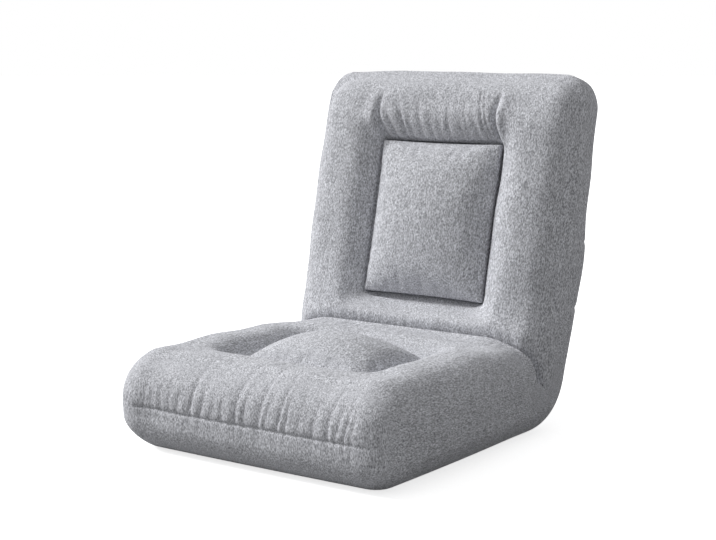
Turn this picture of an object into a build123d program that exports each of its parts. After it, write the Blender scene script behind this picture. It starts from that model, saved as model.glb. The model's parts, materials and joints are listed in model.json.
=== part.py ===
"""Folding floor chair: two padded cushions on bent-tube frames, joined by two ratchet hinges.

Millimetres. X is across the chair, +Y points to the rear, +Z is up. The origin is the centre
of the flat underside, on the floor. The chair stands in its upright position.
"""

import os
from math import cos, radians, sin, tan

from build123d import *

os.makedirs("parts", exist_ok=True)

# ---------------------------------------------------------------- overall sizes
WIDTH = 540.0  # across the bulge of the side bolsters
SIDE_BOW = 3.0  # how far each side bows out between its corners
SEAT_DEPTH = 470.0  # hinge axis to the front of the seat
SEAT_THICK = 162.0  # floor to the crest of the seat's bolsters
BACK_LENGTH = 512.0  # hinge axis to the top edge of the back
BACK_THICK = 130.0  # rear panel to the crest of the back's bolsters
BACK_LEAN = 13.1  # degrees that the upright back leans behind the vertical
HINGE_HEIGHT = 110.0  # hinge axis above the floor, and ahead of the back's rear panel

SEAT_CORNER = 60.0  # corner radii of the outline, seen square on
BACK_CORNER = 50.0
UPPER_ROUND = 58.0  # edge radii: seat top, back front, and the outer sides of both
FRONT_ROUND = 49.0
OUTER_ROUND = 55.0

# ---------------------------------------------------------------- recess and centre pads
PAD_WIDTH = 249.0
SEAT_PAD_LENGTH = 190.0
BACK_PAD_LENGTH = 279.0
SEAT_PAD_REAR = 73.0  # rear edge of the seat's cushions to the rear edge of its pad
PAD_CORNER = 16.0
PAD_BOW = 3.0
SEAT_CROWN = 46.0  # rise of the pads' middles over their sewn edges
BACK_CROWN = 23.0
PAD_BASE = 9.0  # pad thickness below its sewn edge
# How far each layer of a pad draws in from its edge, and its share of the crown.
SEAT_LAYERS = ((0.0, 0.0), (6.0, 0.27), (22.0, 0.58), (42.0, 0.84), (62.0, 1.0))
BACK_LAYERS = ((0.0, 0.0), (8.0, 0.40), (30.0, 0.76), (60.0, 0.95), (88.0, 1.0))
PAD_DRAW_IN = 0.12  # gain in corner radius for each millimetre drawn in
RECESS_DEPTH = 25.0  # bolster crest down to the pad's sewn edge
RECESS_SLOPE = 38.0  # run of the bolster's inner slope
RECESS_ROUND = 55.0  # radius where the slope meets the crest
SEAT_SEAM = 63.5  # hinge axis to the rear edge of the seat's cushions
BACK_SEAM = 104.0  # hinge axis to the lower edge of the back's pad and cushions
SEAT_MITRE = 40.0  # degrees that the end seams of the front and rear bolsters flare outwards
BACK_MITRE = 9.0  # the same for the back's top bolster

# ---------------------------------------------------------------- foams and covers
SOFT_GAP = 0.3  # clearance between soft pieces and what they touch
SEAM_HEIGHT = 78.0  # seam round the seat, and the height of its tube frame
BACK_SEAM_DEPTH = 30.0  # seam round the back, behind the hinge axis, and its tube frame
SIDE_WADDING = 38.0  # bolster thickness beside the foam
END_WADDING = 42.0  # bolster thickness ahead of the seat's foam and above the back's
FLOOR_WADDING = 8.0  # cover and wadding below the seat's foam
REAR_WADDING = 12.0  # the same behind the back's foam
FOAM_CORNER = 30.0
UPPER_EASE = 14.0  # edge radii of the foams: seat top, back front, and the outer sides
FRONT_EASE = 6.0
BASE_EASE = 25.0
PANEL_THICK = 2.0  # grip cloth under the seat
PANEL_INSET = 4.0
GUSSET_WALL = 22.0
HEEL_INNER_ROUND = 33.0
ROLL_WALL = 12.0  # depth of the back's lower roll behind the hinge axis
ROLL_HOLLOW = 24.0  # height of the hollow under the seat's rear roll
BACK_ROLL_FOOT = 2.0  # hinge axis to the foot of the back's lower roll
FOOT_ROUND = 5.0
CREASE_DROP = 15.0  # crest of the seat's bolsters down to the crease where seat and back meet
CREASE_ROUND = 27.0

# ---------------------------------------------------------------- frames
TUBE_R = 8.0
TUBE_WALL = 1.3
RAIL_INSET = 51.0  # side of the cushions in to the centre of the side rails
BEND_R = 60.0
SEAT_RAIL_FRONT = 76.0  # front of the seat back to the centre of the front rail
BACK_RAIL_TOP = 76.0  # top of the back down to the centre of the top rail
SEAT_RAIL_END = 50.0  # hinge axis to the ends of the seat rails
BACK_RAIL_END = 48.0
CROSS_R = 6.0
SEAT_CROSS = 172.0  # hinge axis to the cross tubes
BACK_CROSS = 215.0
PLUG_FLANGE = 2.0
PLUG_DEPTH = 9.0

STRAP_WIDTH = 44.0
STRAP_THICK = 1.4
STRAP_PITCH = 92.0
STRAPS = 3
SEAT_STRAPS = 218.0  # hinge axis to the middle strap
BACK_STRAPS = 262.0
CLIP_THICK = 1.5
CLIP_WIDTH = 30.0
CLIP_TONGUE = 17.0

# ---------------------------------------------------------------- ratchet hinges
POSITIONS = 6  # locking positions from upright to flat
UPRIGHT_TO_FLAT = 90.0 - BACK_LEAN
PITCH = UPRIGHT_TO_FLAT / (POSITIONS - 1)
PLATE_THICK = 4.0
CHEEK_THICK = 1.8
PLATE_GAP = 0.2  # running gap each side of the ratchet plate
CHEEK_MARGIN = 4.0  # cheek beyond the tips of the teeth
TIP_R = 26.0
ROOT_R = 20.5
PIVOT_R = 4.0
RUN_FIT = 0.05  # radial clearance of a turning fit
FIRM_FIT = 0.02  # radial clearance of a rivet or pin in its own body
HEAD_R = 6.5
HEAD_THICK = 2.0
ARM_HALF = 9.5
ARM_ROOM = 2.0  # room round the hinge arms in the foams
NECK_ROOM = 4.0  # more of it above the seat's arms, where they rise to the hinge
RIVET_ROOM = 1.0  # room past the rivets' heads
RIVET_R = 2.5
SEAT_RIVETS = (64.0, 90.0)  # hinge axis to the rivets, along the rails
BACK_RIVETS = (66.0, 92.0)
PAWL_ROOM = 3.0  # tips of the teeth to the pawl's boss
PAWL_ANGLE = -3.2  # degrees from the back's line, seen from the hinge axis, to the pawl's pin
PAWL_PIN_R = 3.0
PAWL_BOSS = 6.5
PAWL_TIP_ANGLE = -50.0  # degrees from the back's line to the engaged tip
PAWL_CLEAR = 0.25
PAWL_SHOULDER = (0.5, 3.5)  # from the pawl's pin to where its strut meets the boss
PAWL_BACK = (3.8, -5.0)
PAWL_TOE = 2.5  # rear of the tip, outside the tips of the teeth
TOOTH_FLAT = 7.0  # degrees of root circle in each notch
TOOTH_PLAY = 0.7  # degrees between the pawl's tip and a steep face
TOOTH_LAND = 1.5  # degrees of flat on each tooth's crest
CHEEK_ARM = 11.0
PIN_HEAD = 1.4
RIVET_HEAD_R = 4.6
RIVET_SHOULDER_R = 5.0
# Distance beyond the tips of the teeth, and degrees from the back's line, of the spring's points.
SPRING_POST_AT = (16.5, -43.0)
SPRING_KNEE_AT = (12.0, -53.5)
SPRING_TIP_AT = (3.4, -48.0)
SPRING_THICK = 0.6
SPRING_WIDTH = 3.4
POST_R = 2.2

# ---------------------------------------------------------------- zip
ZIP_HEIGHT = 150.0  # hinge axis to the zip, up the back
ZIP_LENGTH = 380.0
ZIP_DEPTH = 7.2
ZIP_STOP = 30.0  # end of the chain to the slider of the closed zip
TAPE_WIDTH = 26.0
TAPE_THICK = 1.0
CHAIN_WIDTH = 5.0
CHAIN_THICK = 1.6
SLIDER_LENGTH = 11.0
SLIDER_WIDTH = 8.4
SLIDER_GAP = 0.3
SLIDER_WALL = 1.0
PULL_LENGTH = 24.0
PULL_WIDTH = 6.0
PULL_THICK = 1.2
PULL_CORNER = 1.5
CROWN_HALF = 4.0
CROWN_WIDTH = 2.0
CROWN_WALL = 1.0
CROWN_ROOM = 2.0

# ---------------------------------------------------------------- places worked out from these
HALF = WIDTH / 2 - SIDE_BOW
FLAT_LENGTH = SEAT_DEPTH - OUTER_ROUND - SEAT_SEAM
HINGE_Y = SEAT_SEAM + FLAT_LENGTH / 2
HINGE = Vector(0, HINGE_Y, HINGE_HEIGHT)
SEAT_FRONT = HINGE_Y - SEAT_DEPTH
SEAM_Y = HINGE_Y - SEAT_SEAM
FRONT_PLANE = BACK_THICK - HINGE_HEIGHT  # back's bolster crest, ahead of the hinge axis
UP = Vector(0, sin(radians(BACK_LEAN)), cos(radians(BACK_LEAN)))
AHEAD = Vector(0, -cos(radians(BACK_LEAN)), sin(radians(BACK_LEAN)))
HINGE_LINE = Axis(HINGE, (1, 0, 0))
FOAM_HALF = HALF - SIDE_WADDING
RAIL_X = HALF - RAIL_INSET
SEAT_FOAM_TOP = SEAT_THICK - RECESS_DEPTH - PAD_BASE - SOFT_GAP
BACK_FOAM_FRONT = FRONT_PLANE - RECESS_DEPTH - PAD_BASE - SOFT_GAP
plate_face = PLATE_THICK / 2  # faces of a hinge's plates, out from the middle of the ratchet plate
cheek_face = plate_face + PLATE_GAP
cheek_outside = cheek_face + CHEEK_THICK
tube_face = cheek_outside + PLATE_GAP
HINGE_X = RAIL_X - TUBE_R - tube_face


def back_plane(ahead):
    """The plane of the back at a distance ahead of the hinge axis: x across, y up the back."""
    return Plane(origin=HINGE + AHEAD * ahead, x_dir=(1, 0, 0), z_dir=AHEAD)


def side_plane(x):
    """A plane across X: its x runs up the back from the hinge axis, its y ahead of it."""
    return Plane(origin=HINGE + Vector(x, 0, 0), x_dir=UP, z_dir=(1, 0, 0))


def seat_side_plane(x):
    """A plane across X: its x runs to the rear from the hinge axis, its y up."""
    return Plane(origin=HINGE + Vector(x, 0, 0), x_dir=(0, 1, 0), z_dir=(1, 0, 0))


def cushion_outline(start, end, corner):
    """Outline of a cushion from its straight seam end to its rounded far end, sides bowed."""
    toward = 1 if end > start else -1
    middle = (start + end) / 2
    near_end = end - toward * SIDE_BOW
    with BuildSketch() as sketch:
        with BuildLine():
            ThreePointArc((-HALF, start), (-HALF - SIDE_BOW, middle), (-HALF, near_end))
            ThreePointArc((-HALF, near_end), (0, end), (HALF, near_end))
            ThreePointArc((HALF, near_end), (HALF + SIDE_BOW, middle), (HALF, start))
            Line((HALF, start), (-HALF, start))
        make_face()
        by_distance = sketch.vertices().sort_by(Axis.Y, reverse=toward > 0)
        fillet(by_distance[:2], radius=corner)
    return sketch.sketch


def pad_outline(length, width, corner):
    """A rectangle about the origin with softly bowed sides and rounded corners."""
    x, y = width / 2 - PAD_BOW, length / 2 - PAD_BOW
    with BuildSketch() as sketch:
        with BuildLine():
            ThreePointArc((-x, -y), (0, -y - PAD_BOW), (x, -y))
            ThreePointArc((x, -y), (x + PAD_BOW, 0), (x, y))
            ThreePointArc((x, y), (0, y + PAD_BOW), (-x, y))
            ThreePointArc((-x, y), (-x - PAD_BOW, 0), (-x, -y))
        make_face()
        fillet(sketch.vertices(), radius=corner)
    return sketch.sketch


def recess_cutter(plane, crest, centre, pad_length):
    """The sloped recess round a centre pad, and the straight well that the pad sits in."""
    width = PAD_WIDTH + 2 * SOFT_GAP
    length = pad_length + 2 * SOFT_GAP
    run = 2 * RECESS_SLOPE
    with BuildPart() as cutter:
        with BuildSketch(plane.offset(crest - RECESS_DEPTH)) as well:
            with Locations(centre):
                RectangleRounded(width, length, PAD_CORNER)
        with BuildSketch(plane.offset(crest)):
            with Locations(centre):
                RectangleRounded(width + run, length + run, PAD_CORNER + RECESS_SLOPE / 2)
        loft(ruled=True)
        extrude(well.sketch, amount=-PAD_BASE - SOFT_GAP)
    return cutter.part


def cushion_form(plane, seam, end, thick, corner, face_round, pad_centre, pad_length):
    """The padded outside of a cushion, from its seam at the hinge to its rounded far end."""
    depth = Axis(plane.origin, plane.z_dir)
    past_seam = (seam + end) / 2 - seam

    def beyond_seam(edge):
        return (plane.to_local_coords(edge.center()).Y - seam) * past_seam > 1

    def on_rim(edge):
        place = plane.to_local_coords(edge.center())
        inside = abs(place.X) < PAD_WIDTH / 2 + RECESS_SLOPE + 1
        near = abs(place.Y - pad_centre[1]) < pad_length / 2 + RECESS_SLOPE + 1
        return inside and near and abs(place.Y - seam) > 1 and abs(place.Z - thick) < 0.01

    with BuildPart() as form:
        with BuildSketch(plane):
            add(cushion_outline(seam, end, corner))
        extrude(amount=thick)
        crest = form.faces().sort_by(depth)[-1]
        fillet(crest.edges().filter_by(beyond_seam), radius=face_round)
        underside = form.faces().sort_by(depth)[0]
        fillet(underside.edges().filter_by(beyond_seam), radius=OUTER_ROUND)
        add(recess_cutter(plane, thick, pad_centre, pad_length), mode=Mode.SUBTRACT)
        fillet(form.edges().filter_by(on_rim), radius=RECESS_ROUND)
    return form.part


SEAT_PAD_CENTRE = (0, SEAM_Y - SEAT_PAD_REAR - SEAT_PAD_LENGTH / 2)
BACK_PAD_CENTRE = (0, BACK_SEAM + BACK_PAD_LENGTH / 2)
REAR_PLANE = back_plane(-HINGE_HEIGHT)
SEAT_RAILS = Plane.XY.offset(SEAM_HEIGHT)
BACK_RAILS = back_plane(-BACK_SEAM_DEPTH)

seat_form = cushion_form(
    Plane.XY, SEAM_Y, SEAT_FRONT, SEAT_THICK, SEAT_CORNER, UPPER_ROUND, SEAT_PAD_CENTRE, SEAT_PAD_LENGTH
)
back_form = cushion_form(
    REAR_PLANE, BACK_SEAM, BACK_LENGTH, BACK_THICK, BACK_CORNER, FRONT_ROUND, BACK_PAD_CENTRE, BACK_PAD_LENGTH
)


def foam_block(plane, start, end, depth, edge_round, grow=0.0):
    """A foam layer on a plane, from its seam end to its far end, its outer edges eased."""
    toward = 1 if end > start else -1
    half = FOAM_HALF + grow
    far = end + toward * grow
    outward = 1 if depth > 0 else -1
    with BuildPart() as foam:
        with BuildSketch(plane):
            with BuildLine():
                Polyline((-half, start), (-half, far), (half, far), (half, start), close=True)
            make_face()
        extrude(amount=depth + outward * grow)
        upright = foam.edges().filter_by(Axis(plane.origin, plane.z_dir))
        corners = upright.filter_by(
            lambda edge: abs(plane.to_local_coords(edge.center()).Y - far) < 1
        )
        fillet(corners, radius=FOAM_CORNER + grow)
        outer = foam.faces().sort_by(Axis(plane.origin, plane.z_dir * outward))[-1]
        eased = outer.edges().filter_by(
            lambda edge: abs(plane.to_local_coords(edge.center()).Y - start) > 1
        )
        fillet(eased, radius=edge_round + grow)
    return foam.part


def rail_line(start, end):
    """Centre line of a frame's bent tube, in the plane of its rails."""
    return FilletPolyline(
        (-RAIL_X, start), (-RAIL_X, end), (RAIL_X, end), (RAIL_X, start), radius=BEND_R
    )


def rail_solid(plane, start, end, radius, bore=0.0):
    """The frame's tube, or the channel that it needs, swept along its centre line."""
    with BuildPart() as rail:
        with BuildLine(plane) as line:
            rail_line(start, end)
        with BuildSketch(Plane(origin=line.line @ 0, z_dir=line.line % 0)):
            Circle(radius)
            if bore:
                Circle(bore, mode=Mode.SUBTRACT)
        sweep()
    return rail.part


def cross_solid(plane, place, radius, bore=0.0):
    """The straight brace between the side rails, or the channel that it needs."""
    across = Plane(origin=plane.from_local_coords(Vector(0, place, 0)), z_dir=(1, 0, 0))
    with BuildPart() as cross:
        with BuildSketch(across):
            Circle(radius)
            if bore:
                Circle(bore, mode=Mode.SUBTRACT)
        extrude(amount=RAIL_X, both=True)
    return cross.part


def strap_places(middle):
    """Places of the straps along the rails, evenly spaced about the middle one."""
    return [middle + STRAP_PITCH * (i - (STRAPS - 1) / 2) for i in range(STRAPS)]


def strap_well(plane, places):
    """The room that the straps and their clips need in the foam round them."""
    strap_top = CLIP_THICK + STRAP_THICK + 2 * SOFT_GAP
    clip_r = TUBE_R + CLIP_THICK + 2 * SOFT_GAP
    with BuildPart() as well:
        for place in places:
            with BuildSketch(plane.offset(-SOFT_GAP)):
                with Locations((0, place)):
                    Rectangle(2 * RAIL_X, STRAP_WIDTH + 2 * SOFT_GAP)
            extrude(amount=strap_top + SOFT_GAP)
            start = place - CLIP_WIDTH / 2 - SOFT_GAP
            for x in (-RAIL_X, RAIL_X):
                along = Plane(plane.from_local_coords(Vector(x, start, 0)), z_dir=plane.y_dir)
                with BuildSketch(along):
                    Circle(clip_r)
                extrude(amount=CLIP_WIDTH + 2 * SOFT_GAP)
    return well.part


def straps_on(plane, places):
    """The elastic straps, each lying on the tongues of its two clips."""
    half = RAIL_X - TUBE_R - CLIP_THICK - 1
    with BuildPart() as straps:
        with BuildSketch(plane.offset(CLIP_THICK + FIRM_FIT)):
            with Locations([(0, place) for place in places]):
                Rectangle(2 * half, STRAP_WIDTH)
        extrude(amount=STRAP_THICK)
    return straps.part


def clips_on(plane, places):
    """The sheet steel hooks that carry each strap on the side rails."""
    bore = TUBE_R + FIRM_FIT
    mouth = bore + 2 * CLIP_THICK
    with BuildPart() as clips:
        for place in places:
            start = plane.from_local_coords(Vector(0, place - CLIP_WIDTH / 2, 0))
            with BuildSketch(Plane(start, x_dir=(-1, 0, 0), z_dir=plane.y_dir)):
                for side in (-1, 1):
                    with Locations((side * RAIL_X, 0)):
                        Circle(bore + CLIP_THICK)
                        Circle(bore, mode=Mode.SUBTRACT)
                    with Locations((side * (RAIL_X - mouth / 2), -mouth / 2)):
                        Rectangle(mouth, mouth, mode=Mode.SUBTRACT)
                    with Locations((side * (RAIL_X - bore - CLIP_TONGUE / 2), CLIP_THICK / 2)):
                        Rectangle(CLIP_TONGUE, CLIP_THICK)
            extrude(amount=CLIP_WIDTH)
    return clips.part


def plugs_on(plane, place, inward):
    """The plastic plugs in the open ends of the side rails; inward points into the tube."""
    with BuildPart() as plugs:
        for x in (-RAIL_X, RAIL_X):
            mouth = Plane(plane.from_local_coords(Vector(x, place, 0)), z_dir=plane.y_dir * inward)
            with BuildSketch(mouth.offset(-FIRM_FIT)):
                Circle(TUBE_R)
            extrude(amount=-PLUG_FLANGE)
            with BuildSketch(mouth.offset(-FIRM_FIT)):
                Circle(TUBE_R - TUBE_WALL - FIRM_FIT)
            extrude(amount=PLUG_DEPTH)
    return plugs.part


def pad_on(plane, centre, pad_length, crown, layers):
    """A crowned centre pad: its base, then layers that draw in towards the crown."""
    with BuildPart() as pad:
        base = plane.offset(-PAD_BASE)
        with BuildSketch(base):
            with Locations(centre):
                add(pad_outline(pad_length, PAD_WIDTH, PAD_CORNER))
        extrude(amount=PAD_BASE)
        for inset, rise in layers:
            length = pad_length - 2 * inset
            width = PAD_WIDTH - 2 * inset
            with BuildSketch(plane.offset(rise * crown)):
                with Locations(centre):
                    add(pad_outline(length, width, PAD_CORNER + inset * PAD_DRAW_IN))
        loft()
    return pad.part


# ================================================================ seat: foams and covers
seat_foam_end = SEAT_FRONT + END_WADDING
seat_foam_depth = SEAT_FOAM_TOP - SEAM_HEIGHT
base_foam_depth = FLOOR_WADDING - SEAM_HEIGHT
seat_rail_end = HINGE_Y - SEAT_RAIL_END
seat_rail_front = SEAT_FRONT + SEAT_RAIL_FRONT
seat_cross = HINGE_Y - SEAT_CROSS
seat_straps_at = strap_places(HINGE_Y - SEAT_STRAPS)

seat_channel = rail_solid(SEAT_RAILS, seat_rail_end, seat_rail_front, TUBE_R + SOFT_GAP)
seat_cross_channel = cross_solid(SEAT_RAILS, seat_cross, CROSS_R + SOFT_GAP)
seat_strap_well = strap_well(SEAT_RAILS, seat_straps_at)

arm_room = ARM_HALF + ARM_ROOM


def hinge_room(plane, start, end, rise=0.0):
    """Room in a cushion's foams for the arms and rivets of both hinges, from the hinge axis out."""
    inner = HINGE_X - tube_face - PIN_HEAD - RIVET_ROOM
    outer = RAIL_X + TUBE_R + PIN_HEAD + RIVET_ROOM
    with BuildPart() as room:
        with BuildSketch(plane.offset(-arm_room)):
            for side in (-1, 1):
                with Locations((side * (inner + outer) / 2, (start + end) / 2)):
                    Rectangle(outer - inner, abs(end - start))
        extrude(amount=2 * arm_room + rise)
    return room.part


seat_hinge_room = hinge_room(
    SEAT_RAILS, HINGE_Y, HINGE_Y - SEAT_RIVETS[-1] - arm_room, NECK_ROOM
)

with BuildPart() as seat_foam:
    add(foam_block(SEAT_RAILS, SEAM_Y, seat_foam_end, seat_foam_depth, UPPER_EASE))
    for room in (seat_channel, seat_cross_channel, seat_strap_well, seat_hinge_room):
        add(room, mode=Mode.SUBTRACT)

with BuildPart() as seat_base_foam:
    add(foam_block(SEAT_RAILS, SEAM_Y, seat_foam_end, base_foam_depth, BASE_EASE))
    for room in (seat_channel, seat_cross_channel, seat_strap_well, seat_hinge_room):
        add(room, mode=Mode.SUBTRACT)

seat_upper_fill = foam_block(
    SEAT_RAILS, SEAM_Y, seat_foam_end, seat_foam_depth, UPPER_EASE, SOFT_GAP
)
seat_lower_fill = foam_block(
    SEAT_RAILS, SEAM_Y, seat_foam_end, base_foam_depth, BASE_EASE, SOFT_GAP
)

with BuildPart() as seat_base_cover:
    add(seat_form)
    with BuildSketch(Plane.XY.offset(PANEL_THICK)):
        Rectangle(2 * WIDTH, 2 * SEAT_DEPTH)
    extrude(amount=SEAM_HEIGHT - PANEL_THICK, mode=Mode.INTERSECT)
    add(seat_lower_fill, mode=Mode.SUBTRACT)

with BuildPart() as seat_grip_panel:
    panel_length = FLAT_LENGTH - 2 * PANEL_INSET
    panel_width = 2 * (HALF - OUTER_ROUND - PANEL_INSET)
    with BuildSketch():
        RectangleRounded(panel_width, panel_length, SEAT_CORNER - OUTER_ROUND)
    extrude(amount=PANEL_THICK)


def mitred_region(half, near, far, flare):
    """The wedge of plan between the end seams of a bolster, widening to the far edge."""
    spread = abs(far - near) * tan(radians(flare))
    with BuildSketch() as region:
        with BuildLine():
            Line((-half, near), (-half - spread, far))
            Line((-half - spread, far), (half + spread, far))
            Line((half + spread, far), (half, near))
            Line((half, near), (-half, near))
        make_face()
    return region.sketch


def half_plan(side, near, far):
    """The plan of one half of a cushion, from the middle line outwards."""
    with BuildSketch() as region:
        with Locations((side * WIDTH / 2, (near + far) / 2)):
            Rectangle(WIDTH, abs(far - near))
    return region.sketch


pad_half = PAD_WIDTH / 2 + SOFT_GAP
seat_pad_rear = SEAM_Y - SEAT_PAD_REAR + SOFT_GAP
seat_pad_front = seat_pad_rear - SEAT_PAD_LENGTH - 2 * SOFT_GAP
seat_front_wedge = mitred_region(pad_half, seat_pad_front, SEAT_FRONT - 1, SEAT_MITRE)
seat_rear_wedge = mitred_region(pad_half, seat_pad_rear, SEAM_Y, SEAT_MITRE)


def seat_end_bolster(wedge):
    """The bolster of the seat ahead of its pad or behind it, between its end seams."""
    with BuildPart() as bolster:
        add(seat_form)
        with BuildSketch(SEAT_RAILS):
            add(wedge)
        extrude(amount=SEAT_THICK, mode=Mode.INTERSECT)
        add(seat_upper_fill, mode=Mode.SUBTRACT)
    return bolster


def seat_side_bolster(side):
    """One side bolster of the seat, between the end seams of the front and rear bolsters."""
    with BuildPart() as bolster:
        add(seat_form)
        with BuildSketch(SEAT_RAILS):
            add(half_plan(side, SEAM_Y, SEAT_FRONT - 1))
            add(seat_front_wedge, mode=Mode.SUBTRACT)
            add(seat_rear_wedge, mode=Mode.SUBTRACT)
        extrude(amount=SEAT_THICK, mode=Mode.INTERSECT)
        add(seat_upper_fill, mode=Mode.SUBTRACT)
    return bolster


seat_front_bolster = seat_end_bolster(seat_front_wedge)
seat_rear_bolster = seat_end_bolster(seat_rear_wedge)
seat_left_bolster = seat_side_bolster(-1)
seat_right_bolster = seat_side_bolster(1)

with BuildPart() as seat_center_pad:
    recess_floor = Plane.XY.offset(SEAT_THICK - RECESS_DEPTH)
    add(pad_on(recess_floor, SEAT_PAD_CENTRE, SEAT_PAD_LENGTH, SEAT_CROWN, SEAT_LAYERS))

# ================================================================ back: foams and covers
back_foam_end = BACK_LENGTH - END_WADDING
front_foam_depth = BACK_FOAM_FRONT + BACK_SEAM_DEPTH
rear_foam_depth = BACK_SEAM_DEPTH - HINGE_HEIGHT + REAR_WADDING
back_rail_top = BACK_LENGTH - BACK_RAIL_TOP
back_straps_at = strap_places(BACK_STRAPS)

back_channel = rail_solid(BACK_RAILS, BACK_RAIL_END, back_rail_top, TUBE_R + SOFT_GAP)
back_cross_channel = cross_solid(BACK_RAILS, BACK_CROSS, CROSS_R + SOFT_GAP)
back_strap_well = strap_well(BACK_RAILS, back_straps_at)

back_hinge_room = hinge_room(BACK_RAILS, 0, BACK_RIVETS[-1] + arm_room)

with BuildPart() as back_front_foam:
    add(foam_block(BACK_RAILS, BACK_SEAM, back_foam_end, front_foam_depth, FRONT_EASE))
    for room in (back_channel, back_cross_channel, back_strap_well, back_hinge_room):
        add(room, mode=Mode.SUBTRACT)

with BuildPart() as back_rear_foam:
    add(foam_block(BACK_RAILS, BACK_SEAM, back_foam_end, rear_foam_depth, BASE_EASE))
    for room in (back_channel, back_cross_channel, back_strap_well, back_hinge_room):
        add(room, mode=Mode.SUBTRACT)

back_front_fill = foam_block(
    BACK_RAILS, BACK_SEAM, back_foam_end, front_foam_depth, FRONT_EASE, SOFT_GAP
)
back_rear_fill = foam_block(
    BACK_RAILS, BACK_SEAM, back_foam_end, rear_foam_depth, BASE_EASE, SOFT_GAP
)

with BuildPart() as back_rear_cover:
    add(back_form)
    with BuildSketch(REAR_PLANE):
        Rectangle(2 * WIDTH, 4 * BACK_LENGTH)
    extrude(amount=HINGE_HEIGHT - BACK_SEAM_DEPTH, mode=Mode.INTERSECT)
    add(back_rear_fill, mode=Mode.SUBTRACT)
    with BuildSketch(REAR_PLANE):
        with Locations((0, ZIP_HEIGHT)):
            Rectangle(ZIP_LENGTH + 2 * SOFT_GAP, TAPE_WIDTH + 2 * SOFT_GAP)
    extrude(amount=ZIP_DEPTH, mode=Mode.SUBTRACT)

back_pad_top = BACK_SEAM + BACK_PAD_LENGTH + SOFT_GAP
back_top_wedge = mitred_region(pad_half, back_pad_top, BACK_LENGTH + 1, BACK_MITRE)

with BuildPart() as back_top_bolster:
    add(back_form)
    with BuildSketch(BACK_RAILS):
        add(back_top_wedge)
    extrude(amount=BACK_THICK, mode=Mode.INTERSECT)
    add(back_front_fill, mode=Mode.SUBTRACT)


def back_side_bolster(side):
    """One side bolster of the back, outside the top bolster's end seam."""
    with BuildPart() as bolster:
        add(back_form)
        with BuildSketch(BACK_RAILS):
            add(half_plan(side, BACK_SEAM, BACK_LENGTH + 1))
            add(back_top_wedge, mode=Mode.SUBTRACT)
        extrude(amount=BACK_THICK, mode=Mode.INTERSECT)
        add(back_front_fill, mode=Mode.SUBTRACT)
    return bolster


back_left_bolster = back_side_bolster(-1)
back_right_bolster = back_side_bolster(1)

with BuildPart() as back_center_pad:
    recess_floor = back_plane(FRONT_PLANE - RECESS_DEPTH)
    add(pad_on(recess_floor, BACK_PAD_CENTRE, BACK_PAD_LENGTH, BACK_CROWN, BACK_LAYERS))

# ================================================================ ratchet hinges
rail_drop = SEAM_HEIGHT - HINGE_HEIGHT
back_drop = -BACK_SEAM_DEPTH
tip_from_rear = UPRIGHT_TO_FLAT + PAWL_TIP_ANGLE
half_tip = TOOTH_FLAT / 2


def polar(radius, angle):
    """A point on a side plane, by its distance and angle from the hinge axis."""
    return (radius * cos(radians(angle)), radius * sin(radians(angle)))


PAWL_AXIS = polar(TIP_R + PAWL_ROOM + PAWL_BOSS, PAWL_ANGLE)
SPRING_POST, SPRING_KNEE, SPRING_TIP = (
    polar(TIP_R + beyond, angle) for beyond, angle in (SPRING_POST_AT, SPRING_KNEE_AT, SPRING_TIP_AT)
)
CHEEK_R = TIP_R + CHEEK_MARGIN


def tooth(face_angle):
    """One ratchet tooth: a steep face at face_angle and a ramp falling away below it."""
    ramp_foot = face_angle - (PITCH - TOOTH_FLAT - TOOTH_PLAY)
    buried = ROOT_R - 2
    return (
        polar(buried, ramp_foot),
        polar(ROOT_R, ramp_foot),
        polar(TIP_R, face_angle - TOOTH_LAND),
        polar(TIP_R, face_angle),
        polar(buried, face_angle),
    )


def capsule_hull(first, second, radius):
    """The straight arm between two places on a side plane."""
    with BuildSketch() as hull:
        with Locations(first, second):
            Circle(radius)
        make_hull()
    return hull.sketch


def ratchet_plate(side):
    """The toothed plate riveted to a seat rail."""
    rivets = [(-along, rail_drop) for along in SEAT_RIVETS]
    with BuildPart() as plate:
        with BuildSketch(seat_side_plane(side * HINGE_X).offset(-plate_face)):
            with BuildSketch(mode=Mode.PRIVATE) as neck:
                Circle(ROOT_R - 3)
                with Locations(rivets[0]):
                    Circle(ARM_HALF)
                make_hull()
            add(neck.sketch)
            add(capsule_hull(rivets[0], rivets[-1], ARM_HALF))
            Circle(ROOT_R)
            for position in range(POSITIONS):
                face_angle = tip_from_rear - half_tip - TOOTH_PLAY - position * PITCH
                with BuildLine():
                    Polyline(*tooth(face_angle), close=True)
                make_face()
            Circle(PIVOT_R + RUN_FIT, mode=Mode.SUBTRACT)
            with Locations(rivets):
                Circle(RIVET_R + FIRM_FIT, mode=Mode.SUBTRACT)
        extrude(amount=PLATE_THICK)
    return plate


def cheek_outline(grow=0.0):
    """The side of a hinge housing: round the hinge axis, over the pawl and up the rail."""
    rivets = [(along, back_drop) for along in BACK_RIVETS]
    with BuildSketch() as cheek:
        Circle(CHEEK_R + grow)
        with Locations(PAWL_AXIS, rivets[0]):
            Circle(CHEEK_ARM + grow)
        make_hull()
        add(capsule_hull(rivets[0], rivets[-1], CHEEK_ARM + grow))
    return cheek.sketch


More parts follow.
